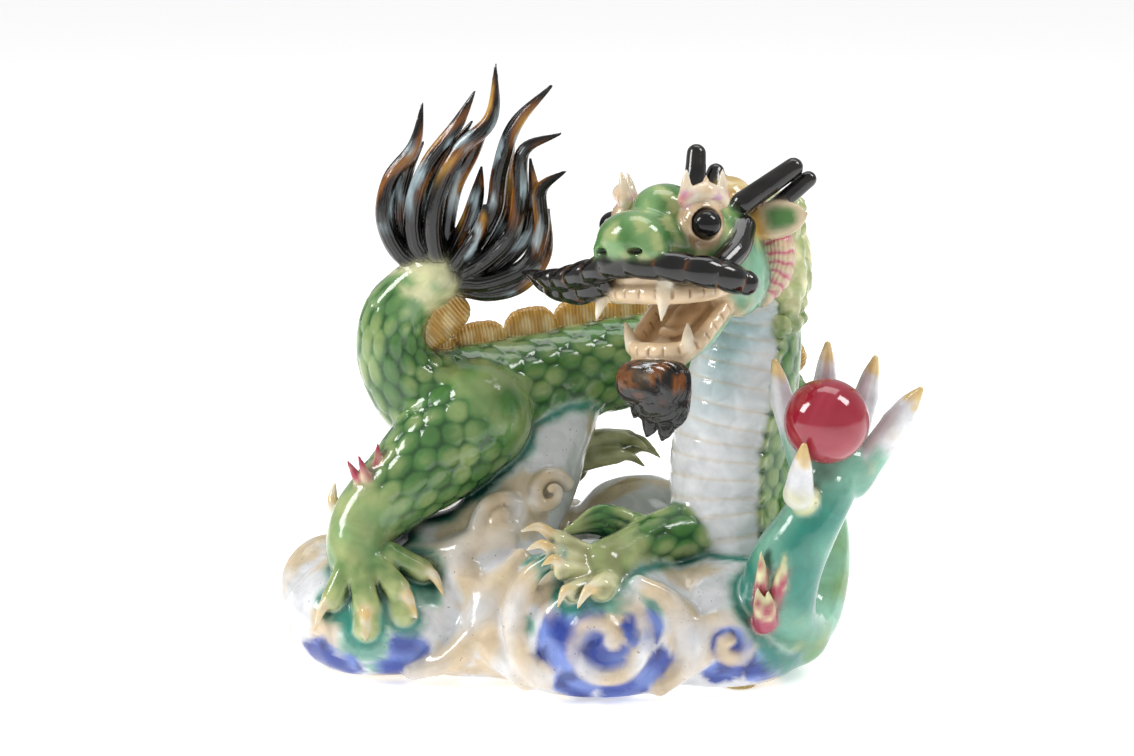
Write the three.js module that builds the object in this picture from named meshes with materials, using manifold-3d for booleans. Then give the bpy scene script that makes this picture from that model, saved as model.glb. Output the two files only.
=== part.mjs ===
// A glazed porcelain dragon on a bank of clouds: a roof-ridge dragon made as a shelf figure.
// The scaled body loops up out of the clouds, arches over to the left and ends in an upright tuft
// of flame-like hair. The neck rises at the right to a horned head with an open mouth, and the
// raised hand beside it holds a loose pearl.
//
// Millimetres, +Z up, and the front is -Y. The sculpture is modelled about the middle of its
// footprint and then moved, so that the origin lies below the centre of its bounding box.
// Dragon and clouds are one fired piece. The pearl, the two eye beads and the four stick-on
// feet are separate pieces.
import * as THREE from "three";
import { mergeVertices } from "three/addons/utils/BufferGeometryUtils.js";
import Module from "manifold-3d";

const wasm = await Module();
wasm.setup();

// Driving dimensions
const GAP = 0.3; // clearance round each separate piece
const PEARL_RADIUS = 13.6;
const PEARL_CENTRE = [82, -42, 90.7];
const EYE_RADIUS = 4.8;
const FOOT_RADIUS = 6;
const FOOT_HEIGHT = 2;
const UNDERSIDE = 1.4; // height of the porcelain's flat underside above the shelf
const HEAD_CENTRE = [29.3, -26, 151]; // between the eyes
const HEAD_YAW = 39; // degrees from straight ahead, towards the left
const HEAD_PITCH = 8; // degrees that the nose is raised
const HEAD_ROLL = 7; // degrees that its left side is raised

// ---------------------------------------------------------------------------------------------
// Building blocks

const vec = (p) => new THREE.Vector3(...p);

// A closed three.js geometry as a solid.
function solidOf(geometry) {
  for (const name of ["normal", "uv"]) geometry.deleteAttribute(name);
  const merged = mergeVertices(geometry, 1e-4);
  const corners = merged.index.array;
  const kept = [];
  for (let i = 0; i < corners.length; i += 3) {
    const [a, b, c] = corners.slice(i, i + 3);
    if (a !== b && b !== c && a !== c) kept.push(a, b, c);
  }
  const make = (triangles) =>
    new wasm.Manifold(
      new wasm.Mesh({
        numProp: 3,
        vertProperties: merged.attributes.position.array,
        triVerts: new Uint32Array(triangles),
      }),
    );
  const made = make(kept);
  return made.volume() > 0 ? made : make(kept.reverse());
}

// The radius at a share of the way along the stations, each [x, y, z, radius].
function radiusAt(stations, share) {
  const along = share * (stations.length - 1);
  const i = Math.min(Math.floor(along), stations.length - 2);
  return THREE.MathUtils.lerp(stations[i][3], stations[i + 1][3], along - i);
}

// A limb through stations [x, y, z, radius]: a lathe form set out ring by ring along a smooth
// curve. `wide` is the direction in which a flattened limb keeps its full width, and `flat` is its
// thickness over its width. The ends are domed, or if `blunt` is false they run to a point.
function limb(stations, { sides = 5, rings = 1, flat = 1, wide = [0, 0, 1], blunt = sides > 5 } = {}) {
  const curve = new THREE.CatmullRomCurve3(stations.map(vec), false, "centripetal");
  const count = rings * (stations.length - 1);
  const reference = vec(wide);
  const placed = [];
  for (let i = 0; i <= count; i++) {
    const share = i / count;
    const tangent = curve.getTangent(share);
    const across = reference.clone().addScaledVector(tangent, -reference.dot(tangent));
    if (across.length() < 0.05) across.set(tangent.y, tangent.z, tangent.x).cross(tangent);
    across.normalize();
    if (flat === 1) reference.copy(across);
    placed.push({
      centre: curve.getPoint(share),
      tangent,
      across,
      through: new THREE.Vector3().crossVectors(tangent, across),
      radius: radiusAt(stations, share),
    });
  }
  const cap = (ring, offset, size) => ({
    ...ring,
    centre: ring.centre.clone().addScaledVector(ring.tangent, offset * ring.radius),
    radius: ring.radius * size,
  });
  const [first, last] = [placed[0], placed[count]];
  const shoulders = (ring, offset) => (blunt ? [cap(ring, offset, 0.8)] : []);
  const all = [
    cap(first, -1, 0),
    ...shoulders(first, -0.6),
    ...placed,
    ...shoulders(last, 0.6),
    cap(last, 1, 0),
  ];
  const profile = all.map((ring, i) => new THREE.Vector2(ring.radius, i));
  const lathe = new THREE.LatheGeometry(profile, sides);
  const positions = lathe.getAttribute("position");
  for (let i = 0; i < positions.count; i++) {
    const ring = all[Math.round(positions.getY(i))];
    const point = ring.centre
      .clone()
      .addScaledVector(ring.across, positions.getX(i))
      .addScaledVector(ring.through, positions.getZ(i) * flat);
    positions.setXYZ(i, ...point);
  }
  return solidOf(lathe);
}

// An ellipsoid. `axes` are the directions of its three radii, the frame's own if left out.
function ball(centre, radii, { axes = null, across = 8, up = 5 } = {}) {
  const geometry = new THREE.SphereGeometry(1, across, up).rotateX(Math.PI / 2);
  geometry.scale(...radii);
  if (axes) geometry.applyMatrix4(new THREE.Matrix4().makeBasis(...axes));
  return solidOf(geometry.translate(...centre));
}

const join = (...solids) => wasm.Manifold.union(solids.flat());

// A curved claw from its root to its tip, bowed towards `bow` by `rise` millimetres.
function claw(root, tip, radius, bow = [0, 0, 1], rise = 2) {
  const middle = vec(root).lerp(vec(tip), 0.5).addScaledVector(vec(bow), rise);
  return limb([[...root, radius], [...middle, radius * 0.75], [...tip, 0.45]], { sides: 4 });
}

// ---------------------------------------------------------------------------------------------
// Body: neck, loop, back and tail as one winding tube, [x, y, z, radius]

const NECK = [
  [50, -3, 141, 13],
  [59, 3, 133, 14],
  [62, 7, 120, 14.5],
  [61, 8, 106, 16.5],
  [58, 6, 90, 18.5],
  [55, 5, 73, 19.3],
  [54, 3, 56, 19.3],
  [56, 1, 40, 18],
  [58, 4, 24, 17],
];
const LOOP = [
  [58, 4, 24, 15],
  [62, 22, 20, 15.5],
  [69, 40, 30, 16],
  [74, 52, 50, 16.5],
  [69, 56, 72, 16.5],
  [53, 54, 87, 16.5],
  [32, 48, 91, 16.5],
  [11, 41, 90, 16.5],
  [-9, 32, 87, 17],
  [-29, 23, 84, 18],
  [-44, 17, 84, 17],
  [-54, 14, 92, 13.5],
  [-58.5, 12, 103, 11.5],
  [-57, 12, 114, 10.5],
  [-51, 12, 122, 9.5],
  [-43, 12, 127.5, 9],
];

// Ribbed fins stand along the back: the foot, the direction that a fin runs in, the direction
// that it stands in, its length and its height.
const FINS = [
  [[-43, 20, 97], [1, 0.25, 0.1], [0, 0, 1], 13, 8],
  [[-29, 24, 98], [1, 0.28, 0.1], [0, 0, 1], 17, 11],
  [[-12, 31, 100.5], [1, 0.35, 0.12], [0, 0, 1], 17, 12],
  [[4, 38, 103], [1, 0.35, 0.08], [0, 0, 1], 16, 11],
  [[20, 44, 104], [1, 0.35, 0.02], [0, 0, 1], 16, 10],
  [[36, 49, 104], [1, 0.25, -0.1], [0.1, 0, 1], 15, 10],
  [[54, 54, 101], [1, 0.1, -0.45], [0.45, 0, 1], 15, 9],
  [[74, 56, 90], [0.6, 0, -1], [1, 0.1, 0.5], 15, 9],
  [[86, 54, 72], [0.1, 0, -1], [1, 0.1, 0.1], 15, 8],
  [[-43, 13, 113], [0.8, 0, 0.7], [0.6, 0, -0.8], 19, 8],
  [[72, 17, 118], [0, 0.1, -1], [0.5, 1, 0], 14, 6],
  [[72, 21, 102], [0, 0.1, -1], [0.5, 1, 0], 15, 6],
  [[70, 21, 86], [-0.1, 0, -1], [0.5, 1, 0], 15, 6],
  [[68, 20, 69], [-0.1, 0, -1], [0.5, 1, 0], 15, 6],
];
const FIN_THICKNESS = 4.5;

// A rounded, leaning fin with its root sunk below its foot.
function fin([foot, run, stand, length, height]) {
  const outline = new THREE.Shape();
  outline.moveTo(-length * 0.55, -4);
  outline.lineTo(-length * 0.55, height * 0.45);
  outline.quadraticCurveTo(-length * 0.4, height, length * 0.05, height);
  outline.quadraticCurveTo(length * 0.45, height * 0.85, length * 0.55, height * 0.2);
  outline.lineTo(length * 0.55, -4);
  outline.closePath();
  const geometry = new THREE.ExtrudeGeometry(outline, {
    depth: FIN_THICKNESS,
    bevelEnabled: false,
    curveSegments: 2,
  });
  geometry.translate(0, 0, -FIN_THICKNESS / 2);
  const along = vec(run).normalize();
  const upright = vec(stand);
  upright.addScaledVector(along, -upright.dot(along)).normalize();
  const side = new THREE.Vector3().crossVectors(along, upright);
  geometry.applyMatrix4(new THREE.Matrix4().makeBasis(along, upright, side));
  return solidOf(geometry.translate(...foot));
}

const body = join(limb(NECK, { sides: 10 }), limb(LOOP, { sides: 10 }), FINS.map(fin));

// ---------------------------------------------------------------------------------------------
// Tail tuft: two layers of hairs fan out of the tail's end. Each is [x, y, z, radius].

const HAIRS = [
  [
    [-44, 12, 128, 3], [-55, 10, 135, 3.2], [-60, 8, 147, 3], [-58, 8, 160, 2.6],
    [-50, 8, 171, 2.2], [-47, 8, 185, 0.6],
  ],
  [[-44, 15, 129, 3], [-53, 14, 138, 3], [-55, 13, 151, 3], [-51, 11, 164, 2.4], [-46, 10, 171, 1.6]],
  [
    [-43, 10, 129, 3], [-50, 8, 139, 3.2], [-50, 6, 153, 3], [-45, 6, 166, 2.6], [-36, 6, 178, 2.4],
    [-30, 6, 189, 0.8],
  ],
  [[-42, 15, 129, 3], [-46, 14, 141, 3], [-45, 13, 155, 2.8], [-39, 11, 167, 2.4], [-31, 9, 176, 1.8]],
  [
    [-41, 9, 129, 3], [-44, 6, 142, 3.2], [-42, 5, 156, 3], [-35, 5, 170, 2.8], [-25, 5, 180, 2.6],
    [-23, 5, 198, 0.6],
  ],
  [[-41, 14, 129, 3], [-40, 13, 143, 3], [-37, 12, 157, 2.8], [-30, 10, 169, 2.6], [-22, 8, 178, 2.2]],
  [
    [-39, 10, 129, 3], [-31, 8, 138, 3.2], [-24, 7, 150, 3], [-22, 6, 163, 2.8], [-17, 6, 178, 2.6],
    [-5, 6, 191, 0.8],
  ],
  [[-38, 14, 129, 3], [-28, 13, 137, 3], [-21, 12, 149, 2.8], [-19, 10, 162, 2.6], [-17, 8, 174, 2.2]],
  [
    [-37, 10, 127, 3], [-27, 7, 133, 3], [-18, 5, 143, 2.8], [-15.5, 5, 156, 2.6],
    [-14, 5, 170, 2.4], [-2, 5, 175.5, 0.6],
  ],
  [[-36, 14, 126, 3], [-24, 12, 130, 3], [-14, 11, 140, 2.8], [-11, 9, 153, 2.4], [-13, 7, 164, 1.8]],
  [
    [-36, 10, 125, 3], [-25, 7, 126, 3], [-13, 6, 132, 3], [-8.5, 6, 144, 2.6], [-8.5, 6, 157, 2.4],
    [-0.5, 6, 163, 0.6],
  ],
  [[-36, 13, 123, 3], [-26, 12, 121.5, 3.2], [-15, 10, 125, 3], [-7.5, 9, 135, 2.6], [-8, 8, 147, 2]],
];
const tuft = join(
  HAIRS.map((hair) => limb(hair, { sides: 4 })),
  ball([-41, 12, 128], [8, 8, 7]),
);

// ---------------------------------------------------------------------------------------------
// Head, in its own directions: forward, to the dragon's left, and up

const headTurn = new THREE.Euler(
  THREE.MathUtils.degToRad(-HEAD_PITCH),
  THREE.MathUtils.degToRad(-HEAD_ROLL),
  THREE.MathUtils.degToRad(-HEAD_YAW),
  "ZYX",
);
const [FORWARD, LEFT, UP] = [
  [0, -1, 0],
  [1, 0, 0],
  [0, 0, 1],
].map((axis) => vec(axis).applyEuler(headTurn));
const headPoint = (forward, left, up) =>
  vec(HEAD_CENTRE)
    .addScaledVector(FORWARD, forward)
    .addScaledVector(LEFT, left)
    .addScaledVector(UP, up)
    .toArray();
const headBall = (at, radii, detail = {}) =>
  ball(headPoint(...at), radii, { axes: [FORWARD, LEFT, UP], ...detail });
const headLimb = (stations, options = {}) =>
  limb(stations.map(([f, l, u, r]) => [...headPoint(f, l, u), r]), options);
const headClaw = (root, tip, radius) => claw(headPoint(...root), headPoint(...tip), radius);
const bothSides = (make) => [make(1), make(-1)];
const acrossHead = { wide: LEFT.toArray() };

const skull = join(
  headLimb(
    [[-36, 0, -3, 11], [-28, 0, -4, 17], [-12, 0, -5, 18], [2, 0, -6, 14], [11, 0, -5, 12.5]],
    { sides: 9, flat: 0.78, ...acrossHead },
  ),
  headBall([-3, 0, 4], [12, 10, 9]), // forehead
  bothSides((side) => headBall([15, side * 8, -8], [6, 5, 4.5], { across: 6, up: 4 })), // nostrils
  bothSides((side) => headBall([-3, side * 14.5, 0], [8, 6.5, 8], { across: 7 })), // eye sockets
  bothSides((side) => headBall([-25, side * 12, -16], [12, 9, 14])), // cheeks
);
const jaws = join(
  headBall([-4, 0, -17], [18, 16, 6.5]), // upper jaw and gum
  headLimb([
    [-22, 0, -26, 14], [-10, 0, -36, 13.5], [0, 0, -43, 11],
  ], { sides: 7, flat: 0.32, ...acrossHead }),
  headLimb([[-3, -11, -40, 2.8], [3, 0, -40.5, 3.4], [-3, 11, -40, 2.8]], { blunt: true }), // lower gum
);
const teeth = [
  headClaw([8, -15, -18], [10, -18, -30.5], 2.6),
  headClaw([10, 10, -18], [11, 9, -30.5], 2.6),
  ...bothSides((side) => headClaw([0, side * 11, -39], [2, side * 12.5, -31], 2.4)),
];
const moustache = [
  headLimb([
    [-6, 29, -18.5, 3.6],
    [4, 24, -15.5, 4],
    [15, 8, -12.5, 3.8],
    [17, -5, -13, 3.6],
    [14, -18, -15.5, 3.8],
    [11, -33, -17.5, 3],
    [8, -50, -15, 0.8],
  ]),
  headLimb([[12, -12, -19, 3], [10, -24, -21.5, 3.5], [8, -38, -20.5, 1.6]]),
  ...bothSides((side) => headLimb([
    [-6, side * 20, -13, 3.4], [-14, side * 20, -8, 3.8], [-22, side * 17, -1, 3.2],
  ])),
];
const beard = join(
  headLimb([[3, 1, -44, 11.5], [4, 1, -52, 12.5], [3, 3, -60, 8]], { sides: 7, flat: 0.4, ...acrossHead }),
  [[-1, -67], [5, -68], [10, -64]].map(([left, drop]) =>
    headLimb([[1, left * 0.8 + 1, -54, 3.4], [1, left, drop + 4, 2.6], [3, left - 0.5, drop, 0.6]])),
);
// Horns: a stem with a shorter prong beside it, the near pair leaning out to the side
const HORNS = [
  [[40, -5, 156, 3.6], [41.5, -2, 163, 3.5], [42, 1, 169.5, 3.2]],
  [[45, -2, 155, 3.2], [48.5, 4, 163, 2.9]],
  [[56, -16, 156, 3.8], [65, -14, 162, 3.5], [72.5, -12, 167, 3.2]],
  [[66, -13, 153.5, 3], [77.5, -11, 163, 2.7]],
];
const ears = bothSides((side) =>
  headLimb(
    [[-28, side * 15, -1, 3], [-31, side * 21, 1, 6], [-33, side * 27, 2, 5], [-34, side * 33, 3, 0.8]],
    { flat: 0.45, wide: UP.toArray() },
  ));
// Flame-shaped eyebrows, each a row of upright points
const eyebrows = bothSides((side) =>
  join(
    headLimb([[2, side * 12, 8, 2.5], [-2, side * 17, 10, 3], [-9, side * 18, 8, 2.5]]),
    [[3, 12, 17], [-2, 16, 15], [-8, 18, 17]].map(([f, l, u]) =>
      headClaw([f - 1, side * l, 7], [f, side * (l + 1), u], 2.4)),
  ));
const crest = headBall([-37, 0, 8], [9, 8, 8]);
// Ruffled cheek frills, and the curling locks of the mane behind them
const frills = bothSides((side) =>
  headLimb([
    [-36, side * 14, 4, 3.5], [-39, side * 18, -6, 5], [-38, side * 18, -16, 5],
    [-33, side * 16, -23, 3.5],
  ]));
const MANE_LOCKS = 3;
const mane = Array.from({ length: MANE_LOCKS }, (_, i) => {
  const turn = THREE.MathUtils.degToRad(-28 + 52 * i);
  const out = (reach, z) => [61 + reach * Math.cos(turn), 6 + reach * Math.sin(turn), z];
  return limb([
    [...out(6, 150), 6], [...out(12, 140), 6], [...out(14.5, 128), 5.5], [...out(14, 115), 2.5],
  ]);
});

const head = join(
  skull, jaws, teeth, moustache, beard, ears, eyebrows, crest, frills, mane,
  HORNS.map((horn) => limb(horn, { blunt: true })),
);

// ---------------------------------------------------------------------------------------------
// Legs. Toes run from the paw to a knuckle, and each ends in a claw.

const toe = (root, knuckle, tip, radius = 4) =>
  join(
    limb([[...root, radius], [...knuckle, radius * 0.95]]),
    claw(knuckle, tip, radius * 0.6, [0, 0, 1], 1.5),
  );

const nearHind = join(
  limb([
    [-30, 8, 80, 18], [-42, 2, 70, 17], [-55, -6, 60, 13.5], [-66, -12, 50, 11],
    [-69, -18, 41, 9.5], [-67, -22, 35, 8.5],
  ], { sides: 8 }),
  toe([-71, -25, 38], [-76, -29, 28], [-82, -34, 18.5], 4.2),
  toe([-67, -27, 37], [-65, -33, 27.5], [-65, -41, 17.5], 4.4),
  toe([-62, -25, 38], [-55, -30, 31.5], [-48.5, -36, 23.5], 4.4),
  toe([-58, -22, 41], [-47.5, -21, 35], [-40, -27, 28], 4.2),
  claw([-70, -8, 47], [-77, -2, 60], 3, [-1, 0, 0], 4),
  // flame-like hairs at the heel
  claw([-64, -13, 56], [-72, -15, 71], 2.6),
  claw([-63, -14, 57], [-68, -17, 73], 2.8),
  claw([-62, -12, 58], [-62, -12, 76], 2.4),
);
const farHind = join(
  limb([
    [-32, 30, 80, 15], [-30, 46, 68, 13], [-22, 52, 57, 10], [-10, 48, 53, 8.5], [0, 46, 54, 8],
  ], { sides: 6 }),
  [[58, 38], [62, 43], [61, 49], [57, 54]].map(([height, depth], i) =>
    join(
      limb([[-2, depth + 1, 54, 4], [8 + i, depth, height, 4.2], [17 + 2 * i, depth, height + 1, 3.2]]),
      claw([17 + 2 * i, depth, height + 1], [27 + 2 * i, depth - 1, height - 3], 2.2, [0, 0, 1], 1.5),
    )),
);
const leftFore = join(
  limb([[46, -2, 42, 13], [34, -12, 44, 9.5], [22, -24, 43, 8], [12, -36, 41, 8.5]], { sides: 7 }),
  limb([[24, -12, 44, 7], [12, -13, 50, 5], [0, -16, 47, 1.5]], { flat: 0.6 }), // elbow tuft
  toe([8, -36, 44], [-3, -40, 51], [-15, -44, 55], 3.6),
  toe([6, -39, 42], [-3, -44, 47], [-13, -48, 50], 3.6),
  toe([6, -41, 40], [-1, -47, 43], [-8, -52, 46], 3.6),
  toe([8, -42, 38], [2, -49, 37], [-3, -54, 33], 3.8),
  toe([13, -42, 38], [11, -49, 38], [3, -56, 33], 4.4),
);
const rightFore = join(
  limb([
    [64, 8, 58, 14], [76, 8, 57, 11], [83, 4, 48, 10], [84, -4, 34, 10.5], [80, -14, 20, 11],
    [75, -22, 15, 11],
  ], { sides: 7 }),
  limb([
    [75, -23, 15, 11], [68.5, -33, 25, 12.5], [70, -38, 41, 12], [76.5, -40, 55, 10],
    [83, -37, 66, 9],
  ], { sides: 7 }),
  ball([86, -33, 72], [13, 8, 10]), // palm
  toe([77, -32, 68], [69, -28, 94], [66, -33, 108], 4.2),
  toe([82, -28, 72], [83, -24, 100], [83, -30, 113], 4.2),
  toe([90, -28, 72], [96, -26, 97], [98, -33, 109], 4.2),
  toe([92, -32, 68], [106, -34, 90], [112, -38, 100], 5),
  toe([79, -40, 62], [73, -50, 69], [74, -55, 86], 5.2),
  // flame-like hairs at the elbow
  claw([63, -45, 25], [60.5, -51, 38.5], 3.6, [0, -1, 0], 2),
  claw([62.5, -44, 32], [61.5, -49, 50], 2.8, [0, -1, 0], 2),
  claw([66.5, -46, 33], [69, -50, 48], 2.8, [0, -1, 0], 2),
);

// ---------------------------------------------------------------------------------------------
// Clouds: a bank of swelling lobes, each [centre, radii], a column of cloud under the belly, and
// raised scrolls

const LOBES = [
  [[-8, 12, 10], [76, 50, 20]],
  [[-62, -4, 16], [32, 33, 22]],
  [[-80, 14, 18], [18, 21, 15]],
  [[10, -23, 17], [34, 33, 28]],
  [[50, -14, 16], [33, 34, 23]],
  [[60, 20, 15], [30, 34, 18]],
  [[26, 42, 28], [26, 24, 22]],
  [[-22, 44, 24], [28, 24, 24]],
  [[-54, 36, 18], [28, 26, 20]],
  [[-42, 2, 26], [22, 20, 22]],
];
const COLUMN = [
  [-30, -2, 22, 23], [-22, 6, 40, 18], [-12, 15, 56, 15], [-3, 24, 71, 12], [3, 32, 82, 9],
];

// A raised scroll: a spiral of `turns` turns that starts `radius` away from its centre, and lies
// in the plane of the directions `right` and `rise`, bulging towards the viewer in its middle.
function scroll(centre, radius, turns, right, rise, { ridge = 3, start = 90, spin = 1 } = {}) {
  const [across, upward] = [vec(right).normalize(), vec(rise).normalize()];
  const out = new THREE.Vector3().crossVectors(across, upward);
  const steps = Math.round(turns * 7);
  const stations = Array.from({ length: steps + 1 }, (_, i) => {
    const share = i / steps;
    const reach = radius * (1 - 0.8 * share);
    const turn = THREE.MathUtils.degToRad(start + spin * 360 * turns * share);
    const point = vec(centre)
      .addScaledVector(across, reach * Math.cos(turn))
      .addScaledVector(upward, reach * Math.sin(turn))
      .addScaledVector(out, 0.5 * (radius - reach));
    return [...point, ridge * (1 - 0.35 * share)];
  });
  return limb(stations, { sides: 4 });
}
const SCROLLS = [
  scroll([12, -50, 22], 17, 1.4, [1, 0, 0], [0, 0.25, 1], { start: 150, spin: -1, ridge: 3.6 }),
  scroll([53, -44, 19], 9, 1.2, [1, 0.15, 0], [0, 0.2, 1], { start: 200, spin: -1 }),
  scroll([-40, 60, 22], 12, 1.2, [-1, 0, 0], [0, -0.2, 1], { start: 90 }),
  scroll([14, 64, 27], 13, 1.2, [-1, 0, 0], [0, -0.2, 1], { start: 30, spin: -1 }),
];
const clouds = join(
  LOBES.map(([centre, radii]) => ball(centre, radii, { across: 11, up: 6 })),
  limb(COLUMN, { sides: 10 }),
  SCROLLS,
);

// ---------------------------------------------------------------------------------------------
// The separate pieces

const pearlForm = (radius) => new THREE.SphereGeometry(radius, 20, 12).rotateX(Math.PI / 2);
const eyeForm = (radius) => new THREE.SphereGeometry(radius, 10, 7);
const footForm = (radius, height) =>
  new THREE.CylinderGeometry(radius, radius, height, 16).rotateX(Math.PI / 2);
const EYES = { left_eye: headPoint(0, 18.6, 0), right_eye: headPoint(0, -18.6, 0) };
const FEET = {
  foot_front_left: [-52, -19],
  foot_front_right: [56, -33],
  foot_back_left: [-52, 45],
  foot_back_right: [58, 42],
};

// The whole casting, cut flat underneath, with room left round each separate piece
const slab = solidOf(new THREE.BoxGeometry(400, 400, 100).translate(0, 0, UNDERSIDE - 50));
const placed = (geometry, at) => solidOf(geometry.translate(...at));
const pockets = [
  placed(pearlForm(PEARL_RADIUS + GAP), PEARL_CENTRE),
  ...Object.values(EYES).map((at) => placed(eyeForm(EYE_RADIUS + GAP), at)),
  ...Object.values(FEET).map(([x, y]) =>
    placed(footForm(FOOT_RADIUS + GAP, 2 * (FOOT_HEIGHT + GAP)), [x, y, 0])),
];
const casting = join(body, tuft, head, nearHind, farHind, leftFore, rightFore, clouds)
  .subtract(slab)
  .subtract(join(pockets));

// ---------------------------------------------------------------------------------------------
// The exported group

const glaze = (colour, roughness = 0.15) =>
  new THREE.MeshStandardMaterial({ color: colour, roughness, metalness: 0 });
const FINISH = {
  porcelain: glaze(0x7fa36a),
  pearl: glaze(0x9c2238),
  eye: glaze(0x0b0a0c, 0.08),
  foot: new THREE.MeshStandardMaterial({ color: 0xcdbb6a, roughness: 0.35, metalness: 0 }),
};

function named(name, geometry, material) {
  const mesh = new THREE.Mesh(geometry, material);
  mesh.name = name;
  return mesh;
}

const sculpture = new THREE.Group();
const mesh = casting.getMesh();
const castingGeometry = new THREE.BufferGeometry()
  .setAttribute("position", new THREE.BufferAttribute(mesh.vertProperties, mesh.numProp))
  .setIndex(new THREE.BufferAttribute(mesh.triVerts, 1));
sculpture.add(named("dragon_on_clouds", castingGeometry, FINISH.porcelain));

const pearl = named("pearl", pearlForm(PEARL_RADIUS), FINISH.pearl);
pearl.position.set(...PEARL_CENTRE);
sculpture.add(pearl);
for (const [name, at] of Object.entries(EYES)) {
  const eye = named(name, eyeForm(EYE_RADIUS), FINISH.eye);
  eye.position.set(...at);
  sculpture.add(eye);
}
for (const [name, [x, y]] of Object.entries(FEET)) {
  const foot = named(name, footForm(FOOT_RADIUS, FOOT_HEIGHT), FINISH.foot);
  foot.position.set(x, y, FOOT_HEIGHT / 2);
  sculpture.add(foot);
}

const box = new THREE.Box3().setFromObject(sculpture);
const centre = box.getCenter(new THREE.Vector3());
sculpture.position.set(-centre.x, -centre.y, -box.min.z);
const group = new THREE.Group();
group.add(sculpture);

export default group;
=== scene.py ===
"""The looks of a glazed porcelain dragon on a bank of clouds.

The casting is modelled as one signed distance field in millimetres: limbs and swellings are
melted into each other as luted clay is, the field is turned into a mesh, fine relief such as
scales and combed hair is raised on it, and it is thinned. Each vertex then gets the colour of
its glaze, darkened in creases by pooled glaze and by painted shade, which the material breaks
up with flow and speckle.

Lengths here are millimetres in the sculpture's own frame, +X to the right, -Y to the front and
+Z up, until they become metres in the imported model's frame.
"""
import math
from types import SimpleNamespace

import bmesh
import bpy
import numpy as np
import openvdb
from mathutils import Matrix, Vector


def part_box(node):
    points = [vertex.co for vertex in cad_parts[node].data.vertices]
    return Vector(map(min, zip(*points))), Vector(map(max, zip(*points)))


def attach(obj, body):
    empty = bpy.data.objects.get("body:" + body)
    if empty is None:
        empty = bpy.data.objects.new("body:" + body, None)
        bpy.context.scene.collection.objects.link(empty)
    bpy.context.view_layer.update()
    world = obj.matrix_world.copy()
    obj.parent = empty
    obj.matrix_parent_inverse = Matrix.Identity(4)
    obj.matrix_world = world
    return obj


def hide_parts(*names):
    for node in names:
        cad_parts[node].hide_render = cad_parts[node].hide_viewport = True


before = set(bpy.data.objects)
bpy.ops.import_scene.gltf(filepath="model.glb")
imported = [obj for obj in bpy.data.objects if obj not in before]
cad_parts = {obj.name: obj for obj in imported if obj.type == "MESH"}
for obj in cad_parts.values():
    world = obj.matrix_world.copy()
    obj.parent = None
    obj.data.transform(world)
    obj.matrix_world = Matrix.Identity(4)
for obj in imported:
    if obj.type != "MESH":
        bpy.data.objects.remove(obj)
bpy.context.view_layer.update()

VOXEL = 0.6  # mm
EMPTY = 6.0  # the field's value away from every form
MOST_TRIANGLES = 195000
PEARL_CENTRE = (82.0, -42.0, 90.7)
PEARL_POCKET, PEARL_CLEAR = 13.9, 14.6  # radii of the hollow, and of the skin left without relief
EYE_POCKET, EYE_CLEAR = 5.1, 5.8
UNDERSIDE = 1.4  # mm above the table

low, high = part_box("pearl")
SHIFT = np.array([(low[i] + high[i]) * 500 - PEARL_CENTRE[i] for i in range(3)])


# ----------------------------------------
# Curves and directions


def unit(vector):
    vector = np.asarray(vector, float)
    return vector / np.linalg.norm(vector)


def unit_rows(vectors):
    return vectors / np.maximum(np.linalg.norm(vectors, axis=1, keepdims=True), 1e-9)


def smooth_path(stations, step=1.6):
    """Points [x, y, z, radius] every `step` mm on a centripetal Catmull-Rom curve."""
    knots = np.asarray(stations, float)
    knots = np.vstack([2 * knots[0] - knots[1], knots, 2 * knots[-1] - knots[-2]])
    points = []
    for i in range(1, len(knots) - 2):
        p0, p1, p2, p3 = knots[i - 1:i + 3]
        gaps = [max(np.linalg.norm((b - a)[:3]), 1e-6) ** 0.5 for a, b in ((p0, p1), (p1, p2), (p2, p3))]
        d0, d1, d2 = gaps
        m1 = ((p1 - p0) / d0 - (p2 - p0) / (d0 + d1) + (p2 - p1) / d1) * d1
        m2 = ((p2 - p1) / d1 - (p3 - p1) / (d1 + d2) + (p3 - p2) / d2) * d1
        count = max(1, round(np.linalg.norm((p2 - p1)[:3]) / step))
        for t in np.arange(count) / count:
            points.append(
                (2 * t**3 - 3 * t**2 + 1) * p1 + (t**3 - 2 * t**2 + t) * m1
                + (3 * t**2 - 2 * t**3) * p2 + (t**3 - t**2) * m2
            )
    points.append(knots[-2])
    points = np.array(points)
    points[:, 3] = np.maximum(points[:, 3], 0.3)
    return points


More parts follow.
